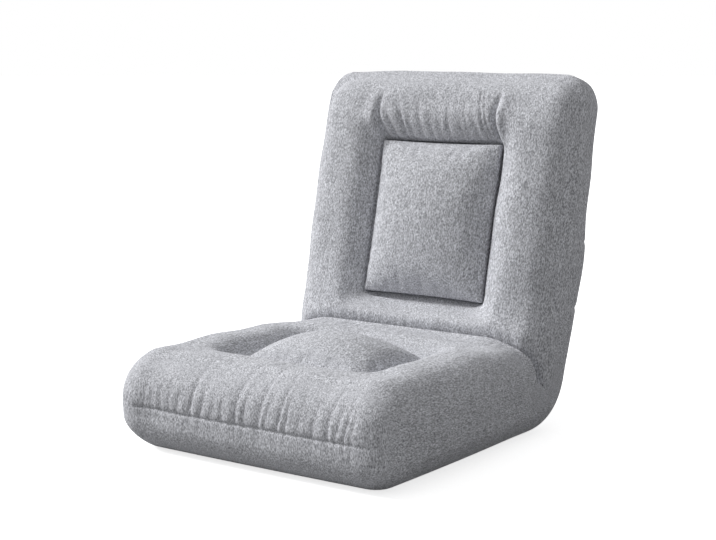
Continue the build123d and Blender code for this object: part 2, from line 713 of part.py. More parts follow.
def cheek(side, outward):
    """A housing side plate, outside (1) or inside (-1) of the ratchet plate."""
    near = HINGE_X + (cheek_face if outward > 0 else -cheek_face - CHEEK_THICK)
    start = side * near if side > 0 else side * near - CHEEK_THICK
    with BuildPart() as plate:
        with BuildSketch(side_plane(start)):
            add(cheek_outline())
            Circle(PIVOT_R + FIRM_FIT, mode=Mode.SUBTRACT)
            with Locations(PAWL_AXIS):
                Circle(PAWL_PIN_R + FIRM_FIT, mode=Mode.SUBTRACT)
            with Locations(SPRING_POST):
                Circle(POST_R + FIRM_FIT, mode=Mode.SUBTRACT)
            with Locations([(along, back_drop) for along in BACK_RIVETS]):
                Circle(RIVET_R + FIRM_FIT, mode=Mode.SUBTRACT)
        extrude(amount=CHEEK_THICK)
    return plate


def pin(side, plane, place, sections):
    """A turned pin across a hinge: sections are (start, end, radius) out from its middle."""
    with BuildPart() as turned:
        for start, end, radius in sections:
            with BuildSketch(plane(side * HINGE_X).offset(side * start)):
                with Locations(place):
                    Circle(radius)
            extrude(amount=side * (end - start))
    return turned.part


shank = cheek_outside + FIRM_FIT
head = shank + HEAD_THICK
tube_far = RAIL_X + TUBE_R - HINGE_X + FIRM_FIT

pivot_sections = [(-head, -shank, HEAD_R), (-shank, shank, PIVOT_R), (shank, head, HEAD_R)]
pawl_pin_sections = [
    (-shank - PIN_HEAD, -shank, PAWL_PIN_R + 1.5),
    (-shank, shank, PAWL_PIN_R),
    (shank, shank + PIN_HEAD, PAWL_PIN_R + 1.5),
]
post_sections = [
    (-shank - PIN_HEAD, -shank, POST_R + 1.0),
    (-shank, shank, POST_R),
    (shank, shank + PIN_HEAD, POST_R + 1.0),
]
back_rivet_sections = [
    (-shank - PIN_HEAD, -shank, RIVET_HEAD_R),
    (-shank, tube_far, RIVET_R),
    (-cheek_face + FIRM_FIT, cheek_face - FIRM_FIT, RIVET_SHOULDER_R),
    (tube_far, tube_far + PIN_HEAD, RIVET_HEAD_R),
]
seat_rivet_sections = [
    (-plate_face - FIRM_FIT - PIN_HEAD, -plate_face - FIRM_FIT, RIVET_HEAD_R),
    (-plate_face - FIRM_FIT, tube_far, RIVET_R),
    (plate_face + FIRM_FIT, tube_face - FIRM_FIT, RIVET_SHOULDER_R),
    (tube_far, tube_far + PIN_HEAD, RIVET_HEAD_R),
]


def pawl(side):
    """The pawl: a wedge tip in the ratchet's notch, a strut and a boss round its pin."""
    leading = PAWL_TIP_ANGLE - half_tip
    trailing = PAWL_TIP_ANGLE + half_tip
    outline = (
        polar(ROOT_R + PAWL_CLEAR, leading),
        polar(ROOT_R + PAWL_CLEAR, trailing),
        polar(TIP_R + PAWL_CLEAR, leading - TOOTH_PLAY + PITCH - TOOTH_LAND),
        (PAWL_AXIS[0] + PAWL_SHOULDER[0], PAWL_AXIS[1] + PAWL_SHOULDER[1]),
        (PAWL_AXIS[0] + PAWL_BACK[0], PAWL_AXIS[1] + PAWL_BACK[1]),
        polar(TIP_R + PAWL_TOE, leading),
    )
    with BuildPart() as piece:
        with BuildSketch(side_plane(side * HINGE_X).offset(-plate_face)):
            with BuildLine():
                Polyline(*outline, close=True)
            make_face()
            with Locations(PAWL_AXIS):
                Circle(PAWL_BOSS)
                Circle(PAWL_PIN_R + RUN_FIT, mode=Mode.SUBTRACT)
        extrude(amount=PLATE_THICK)
    return piece


def pawl_spring(side):
    """The leaf spring that runs under its post and presses the pawl into the teeth."""
    under_post = SPRING_POST[1] - POST_R - SPRING_THICK / 2 - FIRM_FIT
    tail = (BACK_RIVETS[0] - RIVET_SHOULDER_R - 2 * FIRM_FIT, under_post)
    with BuildPart() as leaf:
        with BuildSketch(side_plane(side * HINGE_X).offset(-SPRING_WIDTH / 2)):
            with BuildLine() as line:
                FilletPolyline(tail, (SPRING_POST[0], under_post), SPRING_KNEE, SPRING_TIP, radius=3)
            trace(line.line, line_width=SPRING_THICK)
        extrude(amount=SPRING_WIDTH)
    return leaf


left_ratchet_plate = ratchet_plate(-1)
right_ratchet_plate = ratchet_plate(1)
left_hinge_outer_cheek = cheek(-1, 1)
right_hinge_outer_cheek = cheek(1, 1)
left_hinge_inner_cheek = cheek(-1, -1)
right_hinge_inner_cheek = cheek(1, -1)
left_pawl = pawl(-1)
right_pawl = pawl(1)
left_pawl_spring = pawl_spring(-1)
right_pawl_spring = pawl_spring(1)

with BuildPart() as left_pivot_rivet:
    add(pin(-1, side_plane, (0, 0), pivot_sections))

with BuildPart() as right_pivot_rivet:
    add(pin(1, side_plane, (0, 0), pivot_sections))

with BuildPart() as pawl_pins:
    for side in (-1, 1):
        add(pin(side, side_plane, PAWL_AXIS, pawl_pin_sections))

with BuildPart() as spring_posts:
    for side in (-1, 1):
        add(pin(side, side_plane, SPRING_POST, post_sections))

with BuildPart() as back_arm_rivets:
    for side in (-1, 1):
        for along in BACK_RIVETS:
            add(pin(side, side_plane, (along, back_drop), back_rivet_sections))

with BuildPart() as seat_arm_rivets:
    for side in (-1, 1):
        for along in SEAT_RIVETS:
            add(pin(side, seat_side_plane, (-along, rail_drop), seat_rivet_sections))

# ================================================================ frames
rivet_hole = [(tube_face - 1, tube_far + 1, RIVET_R + FIRM_FIT)]

with BuildPart() as seat_frame:
    add(rail_solid(SEAT_RAILS, seat_rail_end, seat_rail_front, TUBE_R, TUBE_R - TUBE_WALL))
    for side in (-1, 1):
        for along in SEAT_RIVETS:
            add(pin(side, seat_side_plane, (-along, rail_drop), rivet_hole), mode=Mode.SUBTRACT)

with BuildPart() as back_frame:
    add(rail_solid(BACK_RAILS, BACK_RAIL_END, back_rail_top, TUBE_R, TUBE_R - TUBE_WALL))
    for side in (-1, 1):
        for along in BACK_RIVETS:
            add(pin(side, side_plane, (along, back_drop), rivet_hole), mode=Mode.SUBTRACT)

with BuildPart() as seat_cross_tube:
    add(cross_solid(SEAT_RAILS, seat_cross, CROSS_R, CROSS_R - TUBE_WALL))
    add(rail_solid(SEAT_RAILS, seat_rail_end, seat_rail_front, TUBE_R), mode=Mode.SUBTRACT)

with BuildPart() as back_cross_tube:
    add(cross_solid(BACK_RAILS, BACK_CROSS, CROSS_R, CROSS_R - TUBE_WALL))
    add(rail_solid(BACK_RAILS, BACK_RAIL_END, back_rail_top, TUBE_R), mode=Mode.SUBTRACT)

with BuildPart() as seat_straps:
    add(straps_on(SEAT_RAILS, seat_straps_at))

with BuildPart() as back_straps:
    add(straps_on(BACK_RAILS, back_straps_at))

with BuildPart() as seat_strap_clips:
    add(clips_on(SEAT_RAILS, seat_straps_at))

with BuildPart() as back_strap_clips:
    add(clips_on(BACK_RAILS, back_straps_at))

with BuildPart() as seat_rail_plugs:
    add(plugs_on(SEAT_RAILS, seat_rail_end, -1))

with BuildPart() as back_rail_plugs:
    add(plugs_on(BACK_RAILS, BACK_RAIL_END, 1))

# ================================================================ soft joint between the cushions


def section_plane(along, z_dir, toward):
    """A plane square to a cushion at the hinge: x across, y towards the given side."""
    x_dir = (1, 0, 0) if toward == "outside" else (-1, 0, 0)
    return Plane(origin=HINGE + along, x_dir=x_dir, z_dir=z_dir)


def gusset_section():
    """Cross-section of the heel: a padded floor between two side walls."""
    outer = (HALF, HINGE_HEIGHT, OUTER_ROUND)
    inner = (HALF - GUSSET_WALL, HINGE_HEIGHT - GUSSET_WALL, HEEL_INNER_ROUND)
    shells = []
    for half, depth, rounding in (outer, inner):
        with BuildSketch() as shell:
            with Locations((0, depth / 2)):
                Rectangle(2 * half, depth)
            fillet(shell.vertices().group_by(Axis.Y)[-1], radius=rounding)
        shells.append(shell.sketch)
    return shells[0] - shells[1]


def crest_section(height, rounding, depth):
    """Cross-section of a cushion beside the hinge: its padded face rounded at the outer edges."""
    with BuildSketch() as section:
        with Locations((0, (height - depth) / 2)):
            Rectangle(2 * HALF, height + depth)
        fillet(section.vertices().group_by(Axis.Y)[-1], radius=rounding)
    return section.sketch


heel_section = gusset_section()
with BuildPart() as back_stub:
    with BuildSketch(section_plane(Vector(0, 0, 0), UP, "outside")):
        add(heel_section)
    extrude(amount=BACK_SEAM - SOFT_GAP)
    with BuildSketch(section_plane(Vector(0, 0, 0), UP, "inside")):
        add(crest_section(FRONT_PLANE, FRONT_ROUND, HINGE_HEIGHT))
    extrude(amount=BACK_SEAM, mode=Mode.INTERSECT)

with BuildPart() as heel_gusset:
    with BuildSketch(section_plane(Vector(0, -SEAT_SEAM, 0), (0, 1, 0), "outside")):
        add(heel_section)
    extrude(amount=SEAT_SEAM)
    with BuildSketch(section_plane(Vector(0, 0, 0), (0, 1, 0), "outside")):
        add(heel_section)
    revolve(axis=HINGE_LINE, revolution_arc=UPRIGHT_TO_FLAT)
    add(back_stub.part)

hinge_room_half = shank + HEAD_THICK + SOFT_GAP
with BuildPart() as cheek_room:
    for side in (-1, 1):
        with BuildSketch(side_plane(side * HINGE_X - hinge_room_half)):
            add(cheek_outline(grow=RIVET_ROOM))
        extrude(amount=2 * hinge_room_half)

seat_crest = SEAT_THICK - HINGE_HEIGHT
crease = seat_crest - CREASE_DROP


def on_back_face(height):
    """How far to the rear of the hinge axis the back's front face lies at a height above it."""
    lean = radians(BACK_LEAN)
    return (sin(lean) * height - FRONT_PLANE - SOFT_GAP) / cos(lean)


with BuildPart() as seat_rear_roll:
    with BuildSketch(seat_side_plane(-HALF)):
        with BuildLine():
            lip = (on_back_face(crease), crease)
            shoulder = (lip[0] - CREASE_ROUND, seat_crest)
            foot = (on_back_face(0), 0)
            Polyline(lip, foot, (-SEAT_SEAM, 0), (-SEAT_SEAM, seat_crest), shoulder)
            TangentArc(shoulder, lip, tangent=(1, 0))
        make_face()
    extrude(amount=2 * HALF)
    with BuildSketch(section_plane(Vector(0, -SEAT_SEAM, 0), (0, 1, 0), "inside")):
        add(crest_section(seat_crest, UPPER_ROUND, UPPER_ROUND))
    extrude(amount=SEAT_SEAM, mode=Mode.INTERSECT)
    with BuildSketch(seat_side_plane(GUSSET_WALL - HALF)):
        with Locations((-SEAT_SEAM / 2, ROLL_HOLLOW / 2)):
            Rectangle(2 * SEAT_SEAM, ROLL_HOLLOW)
    extrude(amount=2 * (HALF - GUSSET_WALL), mode=Mode.SUBTRACT)
    add(cheek_room.part, mode=Mode.SUBTRACT)

with BuildPart() as back_lower_roll:
    with BuildSketch(side_plane(-HALF)):
        with Locations(((BACK_ROLL_FOOT + BACK_SEAM) / 2, (FRONT_PLANE + SOFT_GAP) / 2)):
            Rectangle(BACK_SEAM - BACK_ROLL_FOOT, FRONT_PLANE - SOFT_GAP)
    extrude(amount=2 * HALF)
    with BuildSketch(side_plane(GUSSET_WALL - HALF + SOFT_GAP)):
        with Locations(((BACK_ROLL_FOOT + BACK_SEAM) / 2, (FRONT_PLANE - ROLL_WALL) / 2)):
            Rectangle(BACK_SEAM - BACK_ROLL_FOOT, FRONT_PLANE + ROLL_WALL)
    extrude(amount=2 * (HALF - GUSSET_WALL - SOFT_GAP))
    with BuildSketch(section_plane(Vector(0, 0, 0), UP, "inside")):
        add(crest_section(FRONT_PLANE, FRONT_ROUND, FRONT_ROUND))
    extrude(amount=BACK_SEAM, mode=Mode.INTERSECT)
    foot_edges = back_lower_roll.edges().filter_by(Axis.X).sort_by(Axis(HINGE, UP * -1 + AHEAD))
    fillet(foot_edges[-1], radius=FOOT_ROUND)
    add(recess_cutter(REAR_PLANE, BACK_THICK, BACK_PAD_CENTRE, BACK_PAD_LENGTH), mode=Mode.SUBTRACT)
    add(cheek_room.part, mode=Mode.SUBTRACT)

# ================================================================ zip in the rear cover
ZIP_FLOOR = Plane(
    origin=HINGE + UP * ZIP_HEIGHT + AHEAD * (ZIP_DEPTH - HINGE_HEIGHT),
    x_dir=(-1, 0, 0),
    z_dir=AHEAD * -1,
)
tape_top = TAPE_THICK + FIRM_FIT
chain_top = tape_top + FIRM_FIT + CHAIN_THICK
slider_top = chain_top + SLIDER_GAP + SLIDER_WALL
slider_at = -(ZIP_LENGTH / 2 - ZIP_STOP)

with BuildPart() as zip_tape:
    with BuildSketch(ZIP_FLOOR.offset(FIRM_FIT)):
        Rectangle(ZIP_LENGTH, TAPE_WIDTH)
    extrude(amount=TAPE_THICK)

with BuildPart() as zip_chain:
    with BuildSketch(ZIP_FLOOR.offset(tape_top + FIRM_FIT)):
        Rectangle(ZIP_LENGTH, CHAIN_WIDTH)
    extrude(amount=CHAIN_THICK)

with BuildPart() as zip_slider:
    with BuildSketch(ZIP_FLOOR.offset(tape_top + SLIDER_GAP)):
        with Locations((slider_at, 0)):
            SlotOverall(SLIDER_LENGTH, SLIDER_WIDTH)
    extrude(amount=slider_top - tape_top - SLIDER_GAP)
    with BuildSketch(ZIP_FLOOR):
        with Locations((slider_at, 0)):
            Rectangle(2 * SLIDER_LENGTH, CHAIN_WIDTH + 2 * SLIDER_GAP)
    extrude(amount=chain_top + SLIDER_GAP, mode=Mode.SUBTRACT)
    with BuildSketch(ZIP_FLOOR.offset(slider_top)):
        with Locations((slider_at, 0)):
            Rectangle(2 * CROWN_HALF, CROWN_WIDTH)
    extrude(amount=CROWN_ROOM + CROWN_WALL)
    with BuildSketch(ZIP_FLOOR.offset(slider_top)):
        with Locations((slider_at, 0)):
            Rectangle(2 * (CROWN_HALF - CROWN_WALL), 2 * CROWN_WIDTH)
    extrude(amount=CROWN_ROOM, mode=Mode.SUBTRACT)

pull_bar = slider_top + CROWN_ROOM / 2
window = CROWN_HALF + 2 * SLIDER_GAP
bar_centre = ZIP_FLOOR.from_local_coords(Vector(slider_at, 0, pull_bar))
with BuildPart() as zip_pull:
    with BuildSketch(ZIP_FLOOR.offset(pull_bar - PULL_THICK / 2)) as leaf:
        with Locations((slider_at + PULL_LENGTH / 2, 0)):
            Rectangle(PULL_LENGTH, PULL_WIDTH)
        fillet(leaf.vertices().group_by(Axis.X)[-1], radius=PULL_CORNER)
        with Locations((slider_at + window / 2, 0)):
            Rectangle(window, CROWN_WIDTH + 2 * SLIDER_GAP, mode=Mode.SUBTRACT)
    extrude(amount=PULL_THICK)
    with BuildSketch(Plane(bar_centre, z_dir=ZIP_FLOOR.y_dir)):
        Circle(PULL_THICK / 2)
    extrude(amount=PULL_WIDTH / 2, both=True)

# ================================================================ finished pieces
pieces = {
    "seat_front_bolster": seat_front_bolster,
    "seat_left_bolster": seat_left_bolster,
    "seat_right_bolster": seat_right_bolster,
    "seat_rear_bolster": seat_rear_bolster,
    "seat_rear_roll": seat_rear_roll,
    "seat_center_pad": seat_center_pad,
    "seat_foam": seat_foam,
    "seat_base_foam": seat_base_foam,
    "seat_base_cover": seat_base_cover,
    "seat_grip_panel": seat_grip_panel,
    "seat_frame": seat_frame,
    "seat_cross_tube": seat_cross_tube,
    "seat_rail_plugs": seat_rail_plugs,
    "seat_straps": seat_straps,
    "seat_strap_clips": seat_strap_clips,
    "seat_arm_rivets": seat_arm_rivets,
    "left_ratchet_plate": left_ratchet_plate,
    "right_ratchet_plate": right_ratchet_plate,
    "heel_gusset": heel_gusset,
    "back_top_bolster": back_top_bolster,
    "back_left_bolster": back_left_bolster,
    "back_right_bolster": back_right_bolster,
    "back_lower_roll": back_lower_roll,
    "back_center_pad": back_center_pad,
    "back_front_foam": back_front_foam,
    "back_rear_foam": back_rear_foam,
    "back_rear_cover": back_rear_cover,
    "back_frame": back_frame,
    "back_cross_tube": back_cross_tube,
    "back_rail_plugs": back_rail_plugs,
    "back_straps": back_straps,
    "back_strap_clips": back_strap_clips,
    "back_arm_rivets": back_arm_rivets,
    "left_hinge_outer_cheek": left_hinge_outer_cheek,
    "right_hinge_outer_cheek": right_hinge_outer_cheek,
    "left_hinge_inner_cheek": left_hinge_inner_cheek,
    "right_hinge_inner_cheek": right_hinge_inner_cheek,
    "left_pivot_rivet": left_pivot_rivet,
    "right_pivot_rivet": right_pivot_rivet,
    "pawl_pins": pawl_pins,
    "spring_posts": spring_posts,
    "left_pawl": left_pawl,
    "right_pawl": right_pawl,
    "left_pawl_spring": left_pawl_spring,
    "right_pawl_spring": right_pawl_spring,
    "zip_tape": zip_tape,
    "zip_chain": zip_chain,
    "zip_slider": zip_slider,
    "zip_pull": zip_pull,
}

for name, piece in pieces.items():
    piece.part.label = name
    export_step(piece.part, f"parts/{name}.step")
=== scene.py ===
import json
import math

import bmesh
import bpy
import numpy as np
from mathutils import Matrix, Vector


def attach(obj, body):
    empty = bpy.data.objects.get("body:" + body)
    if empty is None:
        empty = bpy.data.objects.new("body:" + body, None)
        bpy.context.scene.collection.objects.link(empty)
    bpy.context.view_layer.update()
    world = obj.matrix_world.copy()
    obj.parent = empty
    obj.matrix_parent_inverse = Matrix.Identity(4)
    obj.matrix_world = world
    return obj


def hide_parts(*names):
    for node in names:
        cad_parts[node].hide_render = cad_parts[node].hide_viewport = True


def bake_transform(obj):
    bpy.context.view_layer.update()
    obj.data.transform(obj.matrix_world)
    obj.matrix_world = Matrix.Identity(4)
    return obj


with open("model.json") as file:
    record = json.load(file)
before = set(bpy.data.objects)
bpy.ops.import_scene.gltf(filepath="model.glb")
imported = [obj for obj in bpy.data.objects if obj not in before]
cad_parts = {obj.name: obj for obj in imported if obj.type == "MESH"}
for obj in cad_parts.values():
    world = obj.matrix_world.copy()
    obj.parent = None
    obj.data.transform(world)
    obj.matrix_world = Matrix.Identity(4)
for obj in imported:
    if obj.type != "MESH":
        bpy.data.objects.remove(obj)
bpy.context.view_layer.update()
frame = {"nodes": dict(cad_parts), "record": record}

# ---------------------------------------------------------------- places, in metres
# x runs across the chair, y to the rear and z up. A place on the back cushion also has t, its
# distance up along the back from the hinge axis, and n, its distance ahead of that axis.
Y_AXIS = np.array((0.0, 1.0, 0.0))
Z_AXIS = np.array((0.0, 0.0, 1.0))
HINGE = np.array((0.0, 0.23925, 0.110))
UP = np.array((0.0, 0.226651, 0.973976))
AHEAD = np.array((0.0, -0.973976, 0.226651))

SEAT_FRONT = -0.23075
SEAM_Y = 0.17575  # rear edge of the seat's cushions
SEAM_Z = 0.078  # seam round the seat
BACK_SEAM_N = -0.030  # seam between the back's bolsters and its rear panel
BACK_LOW_T = 0.104  # seam between the lower roll and the bolsters
BACK_TOP_T = 0.512
SIDE_X = 0.262  # just inside the side faces

PAD_HALF = 0.1245  # half the width of both centre pads
SEAT_PAD_Y = (-0.08725, 0.10275)
BACK_PAD_T = (0.104, 0.383)
SEAT_SEWN_Z = 0.137  # the pads' sewn edges
BACK_SEWN_N = -0.005
BACK_PAD_HALF = (BACK_PAD_T[1] - BACK_PAD_T[0]) / 2

CREASE_TOP = np.array((0.0, 0.2290, 0.155))  # mouth of the crease between back and seat
CREASE_LINE = (CREASE_TOP - HINGE) / np.linalg.norm(CREASE_TOP - HINGE)
CREASE_NORMAL = np.array((0.0, CREASE_LINE[2], -CREASE_LINE[1]))

ZIP_HALF = 0.1905  # the trench of the rear zip: half its length and width, its place and floor
ZIP_HALF_WIDTH = 0.0135
ZIP_T = 0.150
ZIP_FLOOR_N = -0.1010

SKIN_VOXEL = 0.005
FOAM_VOXEL = 0.010
COVER_THICK = 0.005
SEAM_NEAR = 0.0013  # points this near a seam are drawn onto it
VOXEL_ROUNDS, FINE_ROUNDS, FOAM_ROUNDS, HINGE_ROUNDS = 6, 2, 3, 14  # of smoothing


def along(p):
    return (p - HINGE) @ UP


def ahead(p):
    return (p - HINGE) @ AHEAD


def step(x, low, high):
    """Smooth rise from 0 at low to 1 at high."""
    s = np.clip((x - low) / (high - low), 0, 1)
    return s * s * (3 - 2 * s)


def fall(x, low, high):
    """Smooth fall from 1 at low to 0 at high."""
    return 1 - step(x, low, high)


def bump(x, middle, width):
    return np.exp(-(((x - middle) / width) ** 2))


# ---------------------------------------------------------------- meshes
def linked(mesh, name):
    piece = bpy.data.objects.new(name, mesh)
    bpy.context.scene.collection.objects.link(piece)
    return piece


def joined(nodes):
    """One mesh from welded copies of CAD nodes."""
    whole = bmesh.new()
    for name in nodes:
        one = bmesh.new()
        one.from_mesh(frame["nodes"][name].data)
        bmesh.ops.remove_doubles(one, verts=one.verts, dist=1e-6)
        mesh = bpy.data.meshes.new("weld")
        one.to_mesh(mesh)
        one.free()
        whole.from_mesh(mesh)
        bpy.data.meshes.remove(mesh)
    mesh = bpy.data.meshes.new("joined")
    whole.to_mesh(mesh)
    whole.free()
    return mesh


def with_modifier(mesh, kind, **settings):
    """A new mesh: the old one after this modifier."""
    piece = linked(mesh, "working")
    modifier = piece.modifiers.new(kind.lower(), kind)
    for key, value in settings.items():
        setattr(modifier, key, value)
    graph = bpy.context.evaluated_depsgraph_get()
    made = bpy.data.meshes.new_from_object(piece.evaluated_get(graph))
    bpy.data.objects.remove(piece)
    return made


def remeshed(mesh, voxel):
    return with_modifier(mesh, "REMESH", mode="VOXEL", voxel_size=voxel, adaptivity=0.0)


def subdivided(mesh):
    return with_modifier(mesh, "SUBSURF", levels=1)


def points(mesh):
    flat = np.zeros(len(mesh.vertices) * 3, np.float32)
    mesh.vertices.foreach_get("co", flat)
    return flat.reshape(-1, 3).astype(float)


def set_points(mesh, places):
    mesh.vertices.foreach_set("co", np.asarray(places, np.float32).ravel())
    mesh.update()


def normals(mesh):
    flat = np.zeros(len(mesh.vertices) * 3, np.float32)
    mesh.vertex_normals.foreach_get("vector", flat)
    return flat.reshape(-1, 3).astype(float)


def edges(mesh):
    flat = np.zeros(len(mesh.edges) * 2, np.int32)
    mesh.edges.foreach_get("vertices", flat)
    return flat.reshape(-1, 2)


def quads(mesh):
    flat = np.zeros(len(mesh.loops), np.int32)
    mesh.loops.foreach_get("vertex_index", flat)
    return flat.reshape(-1, 4)


def to_neighbours(places, pairs):
    """From each point to the mean of the points that its edges lead to."""
    count = len(places)
    degree = np.maximum(np.bincount(pairs.ravel(), minlength=count), 1)[:, None]
    total = np.stack([
        np.bincount(pairs[:, 0], places[pairs[:, 1], axis], count)
        + np.bincount(pairs[:, 1], places[pairs[:, 0], axis], count)
        for axis in range(3)
    ], 1)
    return total / degree - places


def relaxed(places, pairs, rounds):
    """Taubin smoothing: evens out the voxel steps and keeps the volume."""
    for share in (0.5, -0.52) * rounds:
        places = places + share * to_neighbours(places, pairs)
    return places


def evened(places, pairs, rounds, moves):
    """Plain smoothing, each point by its own share of a move."""
    for _ in range(rounds):
        places = places + 0.5 * moves[:, None] * to_neighbours(places, pairs)
    return places


def built(name, verts, faces):
    """A mesh of four-sided faces."""
    mesh = bpy.data.meshes.new(name)
    mesh.vertices.add(len(verts))
    mesh.loops.add(faces.size)
    mesh.polygons.add(len(faces))
    mesh.vertices.foreach_set("co", np.asarray(verts, np.float32).ravel())
    mesh.loops.foreach_set("vertex_index", faces.astype(np.int32).ravel())
    mesh.polygons.foreach_set("loop_start", np.arange(0, faces.size, 4, dtype=np.int32))
    mesh.polygons.foreach_set("loop_total", np.full(len(faces), 4, np.int32))
    mesh.update(calc_edges=True)
    return mesh


def smooth(mesh):
    mesh.polygons.foreach_set("use_smooth", np.ones(len(mesh.polygons), bool))
    mesh.update()


# ---------------------------------------------------------------- gathers and swelling
def swell(p, seed, length, count=9):
    """Slow, uneven rise and fall of stuffed cloth, about -1 to 1, over lengths near this one."""
    draw = np.random.default_rng(seed)
    total = np.zeros(len(p))
    for _ in range(count):
        way = draw.normal(size=3)
        way /= np.linalg.norm(way)
        turns = math.tau / (length * draw.uniform(0.7, 1.5))
        start = draw.uniform(0, math.tau)
        total += np.sin(p @ way * turns + start)
    return total / math.sqrt(count)


def wander(u, rise, *waves):
    """Sideways drift of the gathers' lines. Each wave has a height, its turns in radians per
    metre of u and of rise, and a start."""
    return sum(height * np.sin(by_u * u + by_rise * rise + start)
               for height, by_u, by_rise, start in waves)


def wrinkles(seed, low, high, least, most):
    """Sorted places of the valleys between gathers, with a depth and a reach for each."""
    draw = np.random.default_rng(seed)
    places, at = [], low
    while at < high:
        places.append(at)
        at += draw.uniform(least, most)
    places.append(at)
    places = np.array(places)
    return places, draw.uniform(0.20, 1.0, len(places)), draw.uniform(0.25, 1.30, len(places))


ARCH_POWER = 1.9  # roundness of the crest between two valleys
VALLEY_SHARE = 0.70  # share of a gather's height that lies below the plain cloth


def gathered(u, rise, rows, reach, start=0.004):
    """Height of gathered cloth: u runs along the seam, rise is the distance from it.
    Valleys start at the seam and die out at their own reach."""
    places, depths, reaches = rows
    cell = np.clip(np.searchsorted(places, u) - 1, 0, len(places) - 2)
    left, right = places[cell], places[cell + 1]
    share = np.clip((u - left) / (right - left), 0, 1)
    arch = 1 - np.abs(2 * share - 1) ** ARCH_POWER
    deep = depths[cell] * (1 - share) + depths[cell + 1] * share
    far = (reaches[cell] * (1 - share) + reaches[cell + 1] * share) * reach
    return (arch - VALLEY_SHARE) * deep * fall(rise / far, 0.10, 1.0) * step(rise, -0.002, start)


# the front's gathers: place, depth and reach of each valley
FRONT_ROWS = tuple(np.array((
    (-0.262, 0.30, 0.40), (-0.235, 0.30, 0.50), (-0.205, 0.40, 0.50), (-0.186, 0.35, 0.60),
    (-0.166, 0.50, 0.60), (-0.149, 0.45, 0.70), (-0.130, 0.55, 0.60), (-0.103, 0.95, 1.00),
    (-0.082, 0.80, 0.85), (-0.058, 0.45, 0.70), (-0.038, 0.60, 0.60), (-0.010, 0.95, 1.05),
    (0.005, 0.75, 0.75), (0.036, 1.00, 1.25), (0.046, 0.55, 0.70), (0.072, 0.95, 1.15),
    (0.086, 0.70, 0.75), (0.110, 0.40, 0.60), (0.139, 0.70, 0.80), (0.166, 0.95, 0.95),
    (0.180, 0.75, 0.70), (0.194, 0.90, 0.85), (0.206, 0.55, 0.60), (0.232, 0.35, 0.50),
    (0.262, 0.30, 0.40),
)).T)
FRONT_FINE = wrinkles(12, -SIDE_X, SIDE_X, 0.0055, 0.0135)
RIM_ROWS = wrinkles(15, -0.130, 0.130, 0.0110, 0.0260)
TOP_ROWS = wrinkles(24, -0.200, 0.200, 0.0085, 0.0270)
LOW_ROWS = wrinkles(31, -0.240, 0.240, 0.0150, 0.0360)

# ---------------------------------------------------------------- folds of the seat
FRONT_RISE, FRONT_REACH = 0.0029, 0.108  # gathers above the seam
FRONT_TURN_Y = -0.185  # where they turn from the front onto the top
FRONT_SLANT, FINE_SLANT, UNDER_SLANT = 0.14, 0.05, 0.1  # sideways, per metre from the seam
FRONT_WAVES = ((0.0030, 41, 26, 1.3), (0.0016, 97, -47, 0.0))
FINE_RISE, FINE_REACH = 0.0015, 0.060  # finer ones between them
UNDER_RISE, UNDER_REACH = 0.0012, 0.034  # the same gathers, carried on below the seam
RIM_RISE, RIM_REACH = 0.0028, 0.060  # gathers along the front edge of the pad
RIM_START = 0.010
RIM_CROWDING = 1.12  # how much closer together these run than their rows
SEAM_DEPTH, SEAM_WIDTH = 0.0034, 0.0019
SIDE_BULGE, FRONT_BULGE = 0.0100, 0.0050
SEAT_SWELL = 0.0011
CREST_RISE, CREST_DROP = 0.0040, 0.0080  # side bolsters: their crest, and the slope to the pad


def seat_folds(p, n):
    """Displacement of the seat's skin along its normal."""
    x, y, z = p.T
    out = np.abs(x)
    rise = z - SEAM_Z
    run = rise + np.clip(y - FRONT_TURN_Y, 0, None) * 0.9
    lean = x - FRONT_SLANT * run + wander(x, run, *FRONT_WAVES) * step(run, 0.0, 0.03)
    front = step(-y, 0.080, 0.150) * step(n[:, 1] * -1 + step(run, 0.04, 0.10), 0.05, 0.5)
    corner = 1 - 0.75 * step(out, 0.215, 0.258)
    patchy = step(swell(np.c_[x, 0 * x, 0 * x], 3, 0.13), -0.9, 0.7)
    main = gathered(lean, run, FRONT_ROWS, FRONT_REACH)
    fine = gathered(lean + FINE_SLANT * run, run, FRONT_FINE, FINE_REACH)
    under = gathered(x + UNDER_SLANT * rise, -rise, FRONT_ROWS, UNDER_REACH)
    d = front * corner * main * FRONT_RISE
    d += front * corner * patchy * fine * FINE_RISE
    d += front * corner * under * UNDER_RISE

    top = step(n[:, 2], 0.3, 0.8) * step(z, 0.125, 0.135)
    inside = fall(out, 0.100, 0.128)
    ahead_of_pad = -(y - SEAT_PAD_Y[0])
    rim = gathered(x * RIM_CROWDING, ahead_of_pad, RIM_ROWS, RIM_REACH, RIM_START)
    d += top * inside * rim * RIM_RISE

    # the seam, clear along the front and faint along the near side
    at_front = step(-y, 0.10, 0.20)
    wide = step(x, -0.240, -0.205) * (1 - 0.70 * step(x, 0.19, SIDE_X))
    line = at_front * wide + 0.12 * step(x, 0.24, SIDE_X) * fall(y, -0.16, -0.08)
    d -= SEAM_DEPTH * line * np.exp(-np.abs(rise) / SEAM_WIDTH)

    side = step(out, 0.17, SIDE_X) * np.abs(n[:, 0]) ** 0.6
    girth = step(z, 0.004, 0.055)
    back_off = 1 - 0.75 * step(y, 0.00, 0.17)
    d += (SIDE_BULGE * side * back_off + FRONT_BULGE * at_front * np.abs(n[:, 1])) * girth
    d += SEAT_SWELL * swell(p, 5, 0.11) * step(z, 0.02, 0.05)
    beside_pad = top * step(y, -0.135, -0.085) * fall(y, 0.08, 0.13)
    crest = CREST_RISE * bump(out, 0.198, 0.028) - CREST_DROP * step(-out, -0.188, -0.132)
    d += beside_pad * crest
    return d


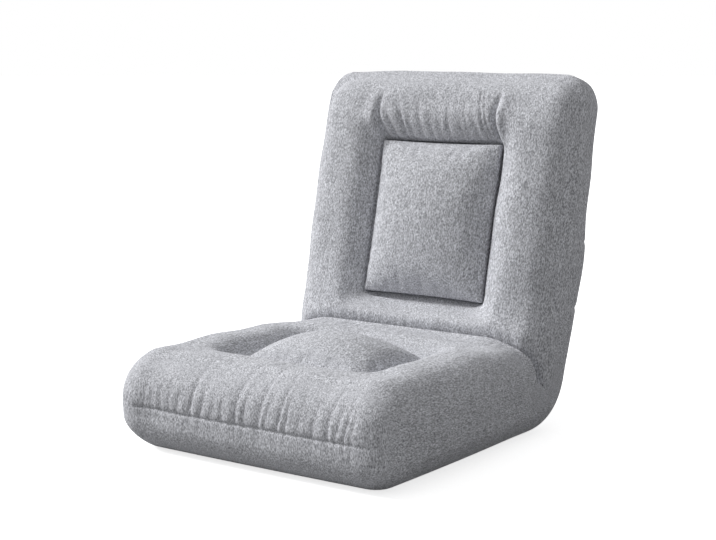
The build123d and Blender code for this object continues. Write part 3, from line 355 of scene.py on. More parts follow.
SLOPE, SLOPE_POWER = 3.2, 1.4
SLOPE_START, SLOPE_HEIGHT = 0.008, 0.060  # above the seam
FRONT_LEAN, SIDE_LEAN = 0.20, -0.13


def front_slope(p):
    """Leans the seat's upper front and sides in towards the crest."""
    x, y, z = p.T
    height = np.clip(z - SEAM_Z - SLOPE_START, 0, SLOPE_HEIGHT)
    lean = height**SLOPE_POWER * SLOPE * fall(y, 0.06, 0.16)
    shift = np.zeros_like(p)
    shift[:, 1] = FRONT_LEAN * lean * fall(y, SEAT_FRONT + 0.010, SEAT_FRONT + 0.115)
    shift[:, 0] = SIDE_LEAN * lean * step(np.abs(x), 0.150, 0.250) * np.sign(x)
    return shift


# ---------------------------------------------------------------- folds of the back
TOP_RISE, TOP_REACH = 0.0078, 0.120  # gathers above the pad
TOP_LAP = 0.006  # how far below the pad's upper edge they start
TOP_WAVE = (0.0024, 63, 31, 0.4)
FAN_MIDDLE, FAN_SIDE, FAN_X = 0.10, 0.34, 0.125  # they fan out towards the pad's corners
# the two deep creases over the pad's corners: side, depth, and x at the foot and at the head
CORNER_CREASES = ((-1, 0.0075, 0.118, 0.128), (1, 0.0095, 0.124, 0.120))
CORNER_LENGTH, CORNER_WIDTH, CORNER_BOW = 0.085, 0.0050, 0.009
LIP_SHARE, LIP_OUT, LIP_WIDTH = 0.55, 0.013, 0.0090  # the raised lip outside each
SIDE_SHAVE, TOP_SHAVE = 0.0110, 0.0125  # taken off the face towards the sides and the top
TOP_CROWN = 0.0030
FAR_BULGE, REAR_BULGE = 0.0065, 0.0075  # of the side away from the camera, and of the rear
PAD_VALLEY, PAD_VALLEY_WIDTH = 0.0055, 0.0045  # round the pad
LOW_VALLEY, LOW_VALLEY_WIDTH = 0.0050, 0.016  # under the pad
LOW_RISE, LOW_REACH = 0.0018, 0.075  # gathers on the lower roll
LOW_START_T, LOW_SLANT = 0.026, 0.2
BACK_SEAM_DEPTH, BACK_SEAM_WIDTH = 0.0009, 0.0022
SIDE_CREASES = ((0.118, 0.0022), (0.232, 0.0016))  # t and depth
SIDE_CREASE_WIDTH = 0.0042
BACK_SWELL = 0.0012


def back_folds(p, n):
    """Displacement of the back's skin along its normal."""
    x = p[:, 0]
    out = np.abs(x)
    t, a = along(p), ahead(p)
    face = step(n @ AHEAD, -0.1, 0.35) * step(a, -0.03, -0.01)

    rise = t - BACK_PAD_T[1]
    fan = FAN_MIDDLE + FAN_SIDE * (out / FAN_X) ** 2
    lean = x + fan * rise + wander(x, rise, TOP_WAVE)
    inside = fall(np.abs(x + 0.10 * rise), 0.108, 0.132)
    strong = 0.50 + 0.50 * step(out, 0.03, 0.10)
    top = gathered(lean, rise + TOP_LAP, TOP_ROWS, TOP_REACH)
    d = face * inside * step(rise, -0.008, 0.004) * top * TOP_RISE * strong
    share = np.clip(rise / CORNER_LENGTH, 0, 1)
    shown = fall(rise, 0.030, 0.105) * step(t, 0.370, 0.392)
    for side, deep, foot, head in CORNER_CREASES:
        line = foot + (head - foot) * share - side * CORNER_BOW * np.sin(share * math.pi)
        d -= face * deep * bump(x * side, line, CORNER_WIDTH) * shown
        d += face * deep * LIP_SHARE * bump(x * side, line + LIP_OUT, LIP_WIDTH) * shown

    front = step(n @ AHEAD, 0.0, 0.5)
    outer = step(x, 0.180, SIDE_X) * fall(t, 0.340, 0.480) + 0.7 * step(-x, 0.180, SIDE_X)
    d -= SIDE_SHAVE * front * outer * step(t, 0.06, 0.14)
    d -= TOP_SHAVE * front * step(t, 0.400, BACK_TOP_T)
    d += TOP_CROWN * step(n @ UP, 0.3, 0.95) * step(t, 0.45, 0.50)
    far_side = FAR_BULGE * step(-x, 0.17, SIDE_X) * np.abs(n[:, 0])
    d += far_side * bump(a, -0.030, 0.050) * step(t, 0.06, 0.14)

    out_x = out - PAD_HALF
    out_t = np.abs(t - sum(BACK_PAD_T) / 2) - BACK_PAD_HALF
    gap = np.hypot(np.maximum(out_x, 0), np.maximum(out_t, 0))
    gap += np.minimum(np.maximum(out_x, out_t), 0) * -0.3
    d -= face * PAD_VALLEY * np.exp(-gap / PAD_VALLEY_WIDTH) * step(a, -0.03, -0.012)
    under_pad = face * LOW_VALLEY * bump(t, BACK_PAD_T[0] - 0.004, LOW_VALLEY_WIDTH)
    d -= under_pad * fall(out, 0.095, 0.140)
    low = t - LOW_START_T
    lower_roll = gathered(x + LOW_SLANT * low, low, LOW_ROWS, LOW_REACH)
    d += face * lower_roll * LOW_RISE * fall(t, 0.075, 0.100) * step(t, 0.02, 0.04)

    seam = np.exp(-np.abs(a - BACK_SEAM_N) / BACK_SEAM_WIDTH)
    d -= BACK_SEAM_DEPTH * seam * step(t, 0.10, 0.12)
    edge = step(out, 0.17, SIDE_X) * np.abs(n[:, 0])
    rear = step(-(n @ AHEAD), -0.2, 0.6)
    girth = np.maximum(rear, edge * step(-a, 0.02, 0.08))
    d += REAR_BULGE * girth * bump(t, 0.165, 0.115)
    for at, deep in SIDE_CREASES:
        ring = t - at - 0.05 * (a + 0.05) - 0.002 * np.sin(a * 60)
        d -= deep * edge * bump(ring, 0.0, SIDE_CREASE_WIDTH) * step(-a, 0.028, 0.06)
    d += BACK_SWELL * swell(p, 8, 0.12) * step(t, 0.04, 0.10)
    return d


# ---------------------------------------------------------------- crease between back and seat
CREASE_PULL, CREASE_SHARPNESS = 0.0250, 0.0029
CREASE_WRAP, CREASE_WRAP_WIDTH = 0.0095, 0.0052  # where it runs down the side
OVERHANG, UNDERCUT = 0.0060, 0.0062  # the lower roll hangs over the crease
SEAT_LIP, LIP_OFF = 0.0065, -0.008
SEAT_DROP, DROP_WIDTH = 0.019, 0.055  # the seat's rear corners


def crease_folds(p, n):
    """The fold between the back and the seat: a pull towards the hinge, a groove down the side,
    and the shapes of the cushions beside it."""
    out = np.abs(p[:, 0])
    off = (p - HINGE) @ CREASE_NORMAL
    height = (p - HINGE) @ CREASE_LINE
    t = along(p)
    at_side = step(out, 0.225, 0.255)
    pull = CREASE_PULL * np.exp(-np.abs(off) / CREASE_SHARPNESS) * step(height, 0.000, 0.024)
    pull = pull * (1 - at_side)
    wrap = CREASE_WRAP * bump(off, 0.0, CREASE_WRAP_WIDTH) * at_side * step(height, -0.050, 0.0)
    shift = -wrap[:, None] * n
    over = OVERHANG * bump(t, 0.062, 0.015) - UNDERCUT * fall(t, 0.041, 0.051)
    over = over * (1 - at_side) * (off > 0) * step(off, 0.0, 0.003)
    over = over * step(ahead(p), -0.02, 0.0) * step(height, 0.0, 0.02)
    shift += over[:, None] * AHEAD
    shift[:, 2] += SEAT_LIP * bump(off, LIP_OFF, 0.008) * (off < 0) * step(height, 0.004, 0.024)
    drop = SEAT_DROP * step(out, 0.165, 0.258) * bump(off, LIP_OFF, DROP_WIDTH)
    shift[:, 2] -= drop * step(height, -0.045, 0.015)
    return shift - pull[:, None] * CREASE_LINE


# ---------------------------------------------------------------- room for the centre pads
PAD_MARGIN = 0.0012
PAD_SLOPE_N = (-0.0120, 0.020)  # heights over the sewn edge between which the slopes are moved
PAD_SLOPE_IN = 0.010  # slopes further under the pad than this stay
PAD_FLOOR, PAD_FLOOR_N = -0.0140, 0.022  # the floor's height, and what counts as floor
FOAM_BESIDE, FOAM_NEAR, FOAM_SUNK = 0.022, 0.040, -0.023  # reach beside, reach in height, height


def pad_views(p):
    """How places lie to the seat's pad and to the back's: the distance along it and its two ends,
    the height over its sewn edge, and the directions of both."""
    return (
        (p[:, 1], SEAT_PAD_Y, p[:, 2] - SEAT_SEWN_Z, Y_AXIS, Z_AXIS),
        (along(p), BACK_PAD_T, ahead(p) - BACK_SEWN_N, UP, AHEAD),
    )


def clear_of_pads(p):
    """Moves the inner slopes out to the square corners of the two centre pads, and sinks the
    floors below the pads."""
    moved = p.copy()
    for s, (low, high), depth, way, rise in pad_views(p):
        from_middle = s - (low + high) / 2
        out_x = PAD_HALF + PAD_MARGIN - np.abs(p[:, 0])
        out_s = (high - low) / 2 + PAD_MARGIN - np.abs(from_middle)
        least = np.minimum(out_x, out_s)
        slope = (depth > PAD_SLOPE_N[0]) & (depth < PAD_SLOPE_N[1])
        inside = (least > 0) & slope & (least < PAD_SLOPE_IN)
        by_x = inside & (out_x <= out_s)
        by_s = inside & (out_x > out_s)
        moved[by_x, 0] += (np.sign(p[:, 0]) * out_x)[by_x]
        moved[by_s] += (np.sign(from_middle) * out_s)[by_s, None] * way
        below = (least > 0) & (np.abs(depth) < PAD_FLOOR_N)
        sunk = PAD_FLOOR * step(least, 0.0015, 0.0065) - depth * step(least, 0.004, 0.010)
        moved[below] += sunk[below, None] * rise
    return moved


def below_pads(p):
    """Keeps foam under the two centre pads and the cloth round them."""
    beside = np.abs(p[:, 0]) < PAD_HALF + FOAM_BESIDE
    for s, (low, high), depth, _, rise in pad_views(p):
        under = beside & (s > low - FOAM_BESIDE) & (s < high + FOAM_BESIDE)
        under &= np.abs(depth) < FOAM_NEAR
        p[under] += np.minimum(FOAM_SUNK - depth[under], 0)[:, None] * rise
    return p


# ---------------------------------------------------------------- the whole skin
SOFT = [
    "seat_front_bolster", "seat_left_bolster", "seat_right_bolster", "seat_rear_bolster",
    "seat_rear_roll", "seat_foam", "seat_base_foam", "seat_base_cover", "heel_gusset",
    "back_top_bolster", "back_left_bolster", "back_right_bolster", "back_lower_roll",
    "back_front_foam", "back_rear_foam", "back_rear_cover",
]
TOP, LOWER, REAR_ROLL, LOWER_ROLL, HEEL, FACE, REAR = range(7)
# the pieces that the skin is parted into: name, body or None for the pieces over the hinge,
# weave, and the CAD nodes replaced
COVERS = {
    TOP: ("seat_bolsters", "seat", "seat",
          ("seat_front_bolster", "seat_left_bolster", "seat_right_bolster", "seat_rear_bolster")),
    LOWER: ("seat_lower_cover", "seat", "seat", ("seat_base_cover",)),
    REAR_ROLL: ("seat_rear_roll_cover", None, "seat", ("seat_rear_roll",)),
    LOWER_ROLL: ("back_lower_roll_cover", None, "back", ("back_lower_roll",)),
    HEEL: ("heel_cover", None, "heel", ("heel_gusset",)),
    FACE: ("back_bolsters", "back", "back",
           ("back_top_bolster", "back_left_bolster", "back_right_bolster")),
    REAR: ("back_rear_panel", "back", "back", ("back_rear_cover",)),
}


def skin():
    mesh = remeshed(joined(SOFT), SKIN_VOXEL)
    set_points(mesh, relaxed(points(mesh), edges(mesh), VOXEL_ROUNDS))
    mesh = subdivided(mesh)
    set_points(mesh, relaxed(points(mesh), edges(mesh), FINE_ROUNDS))
    return mesh


def region(c):
    """The piece that each place on the skin belongs to."""
    x, y, z = c.T
    t, n = along(c), ahead(c)
    behind = (c - HINGE) @ CREASE_NORMAL > 0
    which = np.full(len(c), HEEL)
    which[y < SEAM_Y] = TOP
    which[(y < SEAM_Y) & (z < SEAM_Z)] = LOWER
    sleeve = (y >= SEAM_Y) & (t < BACK_LOW_T)
    which[sleeve & ~behind & (z > HINGE[2])] = REAR_ROLL
    which[sleeve & behind & (t > 0) & (n > BACK_SEAM_N)] = LOWER_ROLL
    up = (y >= SEAM_Y) & (t >= BACK_LOW_T)
    which[up & (n > BACK_SEAM_N)] = FACE
    which[up & (n <= BACK_SEAM_N)] = REAR
    return which


def draw_to(p, off, away, where):
    """Draws the points near a plane onto it, so that a seam runs straight."""
    chosen = where & (np.abs(off) < SEAM_NEAR)
    p[chosen] -= off[chosen, None] * away


def draw_to_seams(p):
    seat = p[:, 1] < SEAM_Y
    draw_to(p, p[:, 2] - SEAM_Z, Z_AXIS, seat)
    creased = (p - HINGE) @ CREASE_LINE > 0.012
    draw_to(p, (p - HINGE) @ CREASE_NORMAL, CREASE_NORMAL, creased & ~seat)


def folded(p, n):
    """The skin's places after all the folds."""
    t = along(p)
    d = seat_folds(p, n) * fall(p[:, 1], 0.150, 0.215) * (t < 0.10)
    d += back_folds(p, n) * step(t, -0.02, 0.05) * (p[:, 1] > 0.16)
    return p + n * d[:, None] + crease_folds(p, n) + front_slope(p)


def even_hinge_ends(p, pairs):
    """Smooths the two ends of the crease, where its folds meet beside the hinges."""
    away = np.linalg.norm((p - HINGE)[:, 1:], axis=1)
    moves = fall(away, 0.010, 0.026) * step(np.abs(p[:, 0]), 0.215, 0.240)
    return evened(p, pairs, HINGE_ROUNDS, moves)


def sink_zip(p):
    """Presses a trench for the zip into the rear panel."""
    t, a = along(p), ahead(p)
    chosen = (np.abs(p[:, 0]) < ZIP_HALF) & (np.abs(t - ZIP_T) < ZIP_HALF_WIDTH) & (a < -0.085)
    p[chosen] += (ZIP_FLOOR_N - a[chosen])[:, None] * AHEAD


THREAD_TURN = (0.45, 0.85)  # of the normal, where the cloth turns over an end


def weave_of(p, n, kind):
    """Cloth coordinates (across, through, along) and how far the thread turns over an end."""
    x = p[:, 0]
    if kind == "seat":
        return np.c_[x, p[:, 2], p[:, 1]], step(np.abs(n[:, 1]), *THREAD_TURN)
    if kind == "back":
        return np.c_[x, ahead(p), along(p)], step(np.abs(n @ UP), *THREAD_TURN)
    arm = p - HINGE
    r = np.hypot(arm[:, 1], arm[:, 2])
    angle = np.arctan2(arm[:, 1], -arm[:, 2])
    return np.c_[x, r, angle * HINGE[2]], np.zeros(len(p))


def add_weave(mesh, kind):
    coords, turn = weave_of(points(mesh), normals(mesh), kind)
    made = mesh.attributes.new("weave", "FLOAT_VECTOR", "POINT")
    made.data.foreach_set("vector", coords.astype(np.float32).ravel())
    made = mesh.attributes.new("turn", "FLOAT", "POINT")
    made.data.foreach_set("value", turn.astype(np.float32))


def shell(name, places, outward, faces):
    """A closed piece: these faces of the skin, and the same again inside them."""
    used, flat = np.unique(faces, return_inverse=True)
    outer = flat.reshape(faces.shape)
    count = len(used)
    starts = outer.ravel()
    ends = np.roll(outer, -1, axis=1).ravel()
    forward = starts.astype(np.int64) * count + ends
    lone = ~np.isin(forward, ends.astype(np.int64) * count + starts)
    a, b = starts[lone], ends[lone]
    walls = np.stack([b, a, a + count, b + count], 1)
    inner = outer[:, ::-1] + count
    facing = outward[used]
    verts = np.concatenate([places[used], places[used] - facing * COVER_THICK])
    mesh = built(name, verts, np.concatenate([outer, inner, walls]))
    smooth(mesh)
    mesh.normals_split_custom_set_from_vertices(np.concatenate([facing, -facing]).tolist())
    return mesh


# ---------------------------------------------------------------- materials
def tree(name):
    material = bpy.data.materials.new(name)
    material.use_nodes = True
    nodes, links = material.node_tree.nodes, material.node_tree.links
    return material, nodes, links, nodes["Principled BSDF"]


def node(nodes, kind, **settings):
    """A new node; each setting is one of its own properties or an input."""
    made = nodes.new(kind)
    for key, value in settings.items():
        if hasattr(made, key):
            setattr(made, key, value)
        else:
            made.inputs[key].default_value = value
    return made


def feed(links, socket, value):
    if isinstance(value, bpy.types.NodeSocket):
        links.new(value, socket)
    else:
        socket.default_value = value


def mix(nodes, links, a, b, factor, kind="MIX", data="RGBA"):
    """A Mix node's result; each of a, b and factor is a socket or a constant."""
    made = nodes.new("ShaderNodeMix")
    made.data_type = data
    if data == "RGBA":
        made.blend_type = kind
    sockets = {"RGBA": (6, 7, 2), "FLOAT": (2, 3, 0)}[data]
    for place, value in ((0, factor), (sockets[0], a), (sockets[1], b)):
        feed(links, made.inputs[place], value)
    return made.outputs[sockets[2]]


def maths(nodes, links, kind, *values):
    made = nodes.new("ShaderNodeMath")
    made.operation = kind
    for place, value in enumerate(values):
        feed(links, made.inputs[place], value)
    return made.outputs[0]


def ranged(nodes, links, value, low, high, to_low, to_high):
    made = nodes.new("ShaderNodeMapRange")
    for place, one in enumerate((value, low, high, to_low, to_high)):
        feed(links, made.inputs[place], one)
    return made.outputs[0]


def noise(nodes, links, vector, scale, detail=2.0, rough=0.5, stretch=(1, 1, 1), shift=0.0):
    mapping = nodes.new("ShaderNodeMapping")
    mapping.inputs["Scale"].default_value = stretch
    mapping.inputs["Location"].default_value = (shift, shift * 0.7, shift * 1.3)
    links.new(vector, mapping.inputs["Vector"])
    made = node(nodes, "ShaderNodeTexNoise", Scale=scale, Detail=detail, Roughness=rough)
    links.new(mapping.outputs[0], made.inputs["Vector"])
    return made.outputs[0]


def ramp(nodes, links, value, *stops):
    made = nodes.new("ShaderNodeValToRGB")
    elements = made.color_ramp.elements
    while len(elements) < len(stops):
        elements.new(0.5)
    for element, (place, colour) in zip(elements, stops):
        element.position = place
        element.color = (*colour, 1)
    links.new(value, made.inputs[0])
    return made.outputs[0]


def shaded(nodes, links, colour, tone):
    """The colour times a plain tone."""
    grey = nodes.new("ShaderNodeCombineColor")
    for place in range(3):
        links.new(tone, grey.inputs[place])
    return mix(nodes, links, colour, grey.outputs[0], 1.0, "MULTIPLY")


def relief(nodes, links, shader, height, strength, distance):
    made = node(nodes, "ShaderNodeBump", Strength=strength, Distance=distance)
    links.new(height, made.inputs["Height"])
    links.new(made.outputs[0], shader.inputs["Normal"])


def threads(nodes, links, weave, turn, fine, long, detail, seed):
    """Noise drawn out along the thread: fine and long are cycles per metre."""
    made = [
        noise(nodes, links, weave, 1.0, detail, 0.6, scale, seed)
        for scale in ((fine, fine, long), (fine, long, fine))
    ]
    return mix(nodes, links, made[0], made[1], turn, data="FLOAT")


def melange(name, light, dark):
    """Heathered upholstery cloth: light and dark fibres spun together, with slubs in the warp."""
    material, nodes, links, shader = tree(name)
    weave = node(nodes, "ShaderNodeAttribute", attribute_name="weave").outputs["Vector"]
    turn = node(nodes, "ShaderNodeAttribute", attribute_name="turn").outputs["Fac"]
    fibre = threads(nodes, links, weave, turn, 640.0, 240.0, 2.0, 3.1)
    slub = threads(nodes, links, weave, turn, 260.0, 55.0, 2.0, 7.7)
    cloud = threads(nodes, links, weave, turn, 40.0, 24.0, 2.0, 1.9)
    colour = ramp(nodes, links, fibre, (0.37, dark), (0.63, light))
    tone = maths(
        nodes, links, "MULTIPLY",
        ranged(nodes, links, slub, 0.3, 0.7, 0.84, 1.15),
        ranged(nodes, links, cloud, 0.3, 0.7, 0.965, 1.035),
    )
    links.new(shaded(nodes, links, colour, tone), shader.inputs["Base Color"])
    warp = node(nodes, "ShaderNodeTexWave", wave_type="BANDS", bands_direction="X",
                Scale=190.0, Distortion=1.2, Detail=1.0)
    links.new(weave, warp.inputs["Vector"])
    height = maths(nodes, links, "MULTIPLY_ADD", warp.outputs["Fac"], 0.22, fibre)
    height = maths(nodes, links, "MULTIPLY_ADD", slub, 0.8, height)
    relief(nodes, links, shader, height, 0.50, 0.0010)
    links.new(ranged(nodes, links, fibre, 0.0, 1.0, 0.84, 0.98), shader.inputs["Roughness"])
    shader.inputs["Sheen Weight"].default_value = 0.10
    shader.inputs["Sheen Roughness"].default_value = 0.45
    shader.inputs["Specular IOR Level"].default_value = 0.20
    return material


def here(nodes):
    return nodes.new("ShaderNodeTexCoord").outputs["Object"]


def foam_cells():
    """Open-cell foam: small pits in a pale, faintly clouded yellow."""
    material, nodes, links, shader = tree("open_cell_foam")
    place = here(nodes)
    cells = node(nodes, "ShaderNodeTexVoronoi", Scale=620.0)
    links.new(place, cells.inputs["Vector"])
    cloud = noise(nodes, links, place, 26.0, 3.0)
    pale = ramp(nodes, links, cloud, (0.3, (0.80, 0.77, 0.66)), (0.7, (0.90, 0.88, 0.80)))
    dark = ranged(nodes, links, cells.outputs["Distance"], 0.0, 0.6, 1.0, 0.72)
    links.new(shaded(nodes, links, pale, dark), shader.inputs["Base Color"])
    links.new(ranged(nodes, links, cloud, 0.0, 1.0, 0.85, 0.98), shader.inputs["Roughness"])
    relief(nodes, links, shader, cells.outputs["Distance"], 0.6, 0.0012)
    shader.inputs["Specular IOR Level"].default_value = 0.2
    return material


def black_tube():
    """Powder-coated tube: a fine orange peel, rubbed brighter in places."""
    material, nodes, links, shader = tree("powder_coated_tube")
    place = here(nodes)
    worn = noise(nodes, links, place, 46.0, 5.0, 0.65)
    peel = noise(nodes, links, place, 900.0, 2.0)
    black = ramp(nodes, links, worn, (0.40, (0.038, 0.038, 0.040)), (0.72, (0.085, 0.085, 0.088)))
    links.new(black, shader.inputs["Base Color"])
    links.new(ranged(nodes, links, worn, 0.3, 0.75, 0.52, 0.34), shader.inputs["Roughness"])
    relief(nodes, links, shader, peel, 0.35, 0.0003)
    return material


def zinc_plate():
    """Zinc-plated sheet steel: rolling lines, a faint mottle and duller patches."""
    material, nodes, links, shader = tree("zinc_plated_steel")
    place = here(nodes)
    lines = noise(nodes, links, place, 1.0, 3.0, 0.6, (120, 40, 1600))
    mottle = node(nodes, "ShaderNodeTexVoronoi", Scale=160.0)
    links.new(place, mottle.inputs["Vector"])
    stain = noise(nodes, links, place, 38.0, 4.0, 0.6)
    bright = ramp(nodes, links, stain, (0.32, (0.46, 0.45, 0.42)), (0.66, (0.67, 0.67, 0.65)))
    spangle = ranged(nodes, links, mottle.outputs["Distance"], 0.0, 0.9, 1.05, 0.84)
    links.new(shaded(nodes, links, bright, spangle), shader.inputs["Base Color"])
    links.new(ranged(nodes, links, lines, 0.3, 0.7, 0.28, 0.46), shader.inputs["Roughness"])
    relief(nodes, links, shader, lines, 0.25, 0.0002)
    shader.inputs["Metallic"].default_value = 1.0
    return material


def moulded_plastic():
    """Black moulded plastic with a fine spark-eroded grain."""
    material, nodes, links, shader = tree("moulded_plastic")
    place = here(nodes)
    grain = noise(nodes, links, place, 1300.0, 2.0)
    cloud = noise(nodes, links, place, 60.0, 3.0)
    black = ramp(nodes, links, cloud, (0.3, (0.030, 0.030, 0.031)), (0.7, (0.055, 0.055, 0.057)))
    links.new(black, shader.inputs["Base Color"])
    links.new(ranged(nodes, links, grain, 0.3, 0.7, 0.46, 0.62), shader.inputs["Roughness"])
    relief(nodes, links, shader, grain, 0.4, 0.0002)
    return material


def woven(name, pale, dark, scale, direction, strength=0.7):
    """Webbing or tape: ribs across its run, and a fleck from thread to thread."""
    material, nodes, links, shader = tree(name)
    place = here(nodes)
    ribs = node(nodes, "ShaderNodeTexWave", wave_type="BANDS", bands_direction=direction,
                Scale=scale, Distortion=0.6)
    links.new(place, ribs.inputs["Vector"])
    fleck = noise(nodes, links, place, 900.0, 3.0, 0.6)
    both = maths(nodes, links, "MULTIPLY_ADD", ribs.outputs["Fac"], 0.45, fleck)
    links.new(ramp(nodes, links, both, (0.35, dark), (0.95, pale)), shader.inputs["Base Color"])
    links.new(ranged(nodes, links, fleck, 0.0, 1.0, 0.80, 0.95), shader.inputs["Roughness"])
    relief(nodes, links, shader, both, strength, 0.0006)
    shader.inputs["Specular IOR Level"].default_value = 0.25
    return material


def dotted_cloth():
    """Grip cloth: plain dark cloth with rows of small rubber dots."""
    material, nodes, links, shader = tree("dotted_grip_cloth")
    place = here(nodes)
    dots = node(nodes, "ShaderNodeTexVoronoi", voronoi_dimensions="2D",
                Scale=155.0, Randomness=0.0)
    links.new(place, dots.inputs["Vector"])
    round_dot = ranged(nodes, links, dots.outputs["Distance"], 0.22, 0.30, 1.0, 0.0)
    cloth = noise(nodes, links, place, 1.0, 3.0, 0.6, (900, 260, 900))
    plain = ramp(nodes, links, cloth, (0.3, (0.075, 0.075, 0.080)), (0.7, (0.170, 0.170, 0.180)))
    dotted = mix(nodes, links, plain, (0.028, 0.028, 0.030, 1), round_dot)
    links.new(dotted, shader.inputs["Base Color"])
    links.new(ranged(nodes, links, round_dot, 0.0, 1.0, 0.92, 0.52), shader.inputs["Roughness"])
    height = maths(nodes, links, "MULTIPLY_ADD", cloth, 0.25, round_dot)
    relief(nodes, links, shader, height, 0.7, 0.0008)
    return material


def zip_coil():
    """Coil teeth: rows of dark and light turns along the chain."""
    material, nodes, links, shader = tree("coil_teeth")
    place = here(nodes)
    turns = node(nodes, "ShaderNodeTexWave", wave_type="BANDS", bands_direction="X",
                 wave_profile="SIN", Scale=157.0)
    links.new(place, turns.inputs["Vector"])
    dull = noise(nodes, links, place, 300.0, 2.0)
    both = maths(nodes, links, "MULTIPLY_ADD", dull, 0.3, turns.outputs["Fac"])
    teeth = ramp(nodes, links, both, (0.15, (0.13, 0.13, 0.14)), (0.9, (0.42, 0.42, 0.44)))
    links.new(teeth, shader.inputs["Base Color"])
    links.new(ranged(nodes, links, dull, 0.3, 0.7, 0.35, 0.5), shader.inputs["Roughness"])
    relief(nodes, links, shader, turns.outputs["Fac"], 0.9, 0.0008)
    return material


def zip_paint():
    """Grey-lacquered slider, rubbed to bare metal in small spots."""
    material, nodes, links, shader = tree("lacquered_slider")
    place = here(nodes)
    rubbed = noise(nodes, links, place, 420.0, 4.0, 0.6)
    bare = ranged(nodes, links, rubbed, 0.60, 0.66, 0.0, 1.0)
    tone = noise(nodes, links, place, 160.0, 2.0)
    paint = ramp(nodes, links, tone, (0.3, (0.29, 0.29, 0.31)), (0.7, (0.38, 0.38, 0.40)))
    links.new(mix(nodes, links, paint, (0.62, 0.61, 0.58, 1), bare), shader.inputs["Base Color"])
    links.new(bare, shader.inputs["Metallic"])
    links.new(ranged(nodes, links, tone, 0.2, 0.8, 0.32, 0.45), shader.inputs["Roughness"])
    relief(nodes, links, shader, rubbed, 0.2, 0.0002)
    return material


GREY = melange("heathered_cloth", (0.810, 0.820, 0.866), (0.283, 0.287, 0.309))
FOAM = foam_cells()
FINISHES = {
    "tube_steel": black_tube(),
    "hinge_steel": zinc_plate(),
    "plug_plastic": moulded_plastic(),
    "strap_webbing": woven(
        "elastic_webbing", (0.110, 0.110, 0.118), (0.032, 0.032, 0.036), 330.0, "X"),
    "grip_cloth": dotted_cloth(),
    "zip_tape": woven(
        "zip_tape_weave", (0.52, 0.52, 0.54), (0.32, 0.32, 0.34), 420.0, "DIAGONAL", 0.4),
    "zip_coil": zip_coil(),
    "zip_metal": zip_paint(),
}


# ---------------------------------------------------------------- camera, floor and light
CAMERA_AT, CAMERA_TARGET = (1.4764, -1.9813, 0.6529), (0.0002, 0.0754, 0.2808)
LENS, SENSOR = 77.1, 36.0
FLOOR_RADIUS, FLOOR_SIDES = 30, 96
FLOOR_TONE, FLOOR_SEEN_TONE, FLOOR_GLOW = 0.34, 0.96, 0.74
WORLD_STRENGTH, WORLD_SEEN_STRENGTH = 0.36, 1.0
KEY_FROM, KEY_STRENGTH, KEY_DEGREES = (-0.785, -0.235, 0.573), 3.25, 24


def aimed(piece, at, target):
    piece.location = at
    piece.rotation_euler = (Vector(target) - Vector(at)).to_track_quat("-Z", "Y").to_euler()


def set_camera():
    data = bpy.data.cameras.new("camera")
    data.lens = LENS
    data.sensor_width = SENSOR
    data.sensor_fit = "HORIZONTAL"
    camera = linked(data, "camera")
    aimed(camera, CAMERA_AT, CAMERA_TARGET)
    bpy.context.scene.camera = camera


def seen_directly(nodes, links):
    """1 for what the camera sees, also in a reflection or through something clear."""
    path = nodes.new("ShaderNodeLightPath")
    rays = [path.outputs[f"Is {kind} Ray"] for kind in ("Camera", "Glossy", "Transmission")]
    seen = maths(nodes, links, "MAXIMUM", rays[0], rays[1])
    return maths(nodes, links, "MAXIMUM", seen, rays[2])


def set_floor():
    """A white floor that bounces less light than it shows."""
    turns = [k * math.tau / FLOOR_SIDES for k in range(FLOOR_SIDES)]
    rim = [(FLOOR_RADIUS * math.cos(turn), FLOOR_RADIUS * math.sin(turn), 0) for turn in turns]
    mesh = bpy.data.meshes.new("floor")
    mesh.from_pydata(rim, [], [list(range(FLOOR_SIDES))])
    floor = linked(mesh, "floor")
    material, nodes, links, shader = tree("floor_white")
    shader.inputs["Roughness"].default_value = 0.9
    shader.inputs["Specular IOR Level"].default_value = 0.0
    seen = seen_directly(nodes, links)
    bounced, shown = [(tone, tone, tone, 1) for tone in (FLOOR_TONE, FLOOR_SEEN_TONE)]
    links.new(mix(nodes, links, bounced, shown, seen), shader.inputs["Base Color"])
    shader.inputs["Emission Color"].default_value = (1, 1, 1, 1)
    glow = maths(nodes, links, "MULTIPLY", seen, FLOOR_GLOW)
    links.new(glow, shader.inputs["Emission Strength"])
    mesh.materials.append(material)


def set_world():
    world = bpy.data.worlds.new("studio")
    bpy.context.scene.world = world
    world.use_nodes = True
    nodes, links = world.node_tree.nodes, world.node_tree.links
    seen = seen_directly(nodes, links)
    strength = mix(nodes, links, WORLD_STRENGTH, WORLD_SEEN_STRENGTH, seen, data="FLOAT")
    nodes["Background"].inputs["Color"].default_value = (1, 1, 1, 1)
    links.new(strength, nodes["Background"].inputs["Strength"])


def set_key():
    data = bpy.data.lights.new("key", "SUN")
    data.energy = KEY_STRENGTH
    data.angle = math.radians(KEY_DEGREES)
    aimed(linked(data, "key"), KEY_FROM, (0, 0, 0))


# ---------------------------------------------------------------- the chair
def dress(mesh, name, kind, *, body=None, nodes=(), material=GREY):
    """Makes a soft piece of a mesh. With no body its transform is baked into its points."""
    mesh.materials.append(material)
    add_weave(mesh, kind)
    piece = linked(mesh, name)
    if body:
        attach(piece, body)
    else:
        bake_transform(piece)
    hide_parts(*nodes)
    return piece


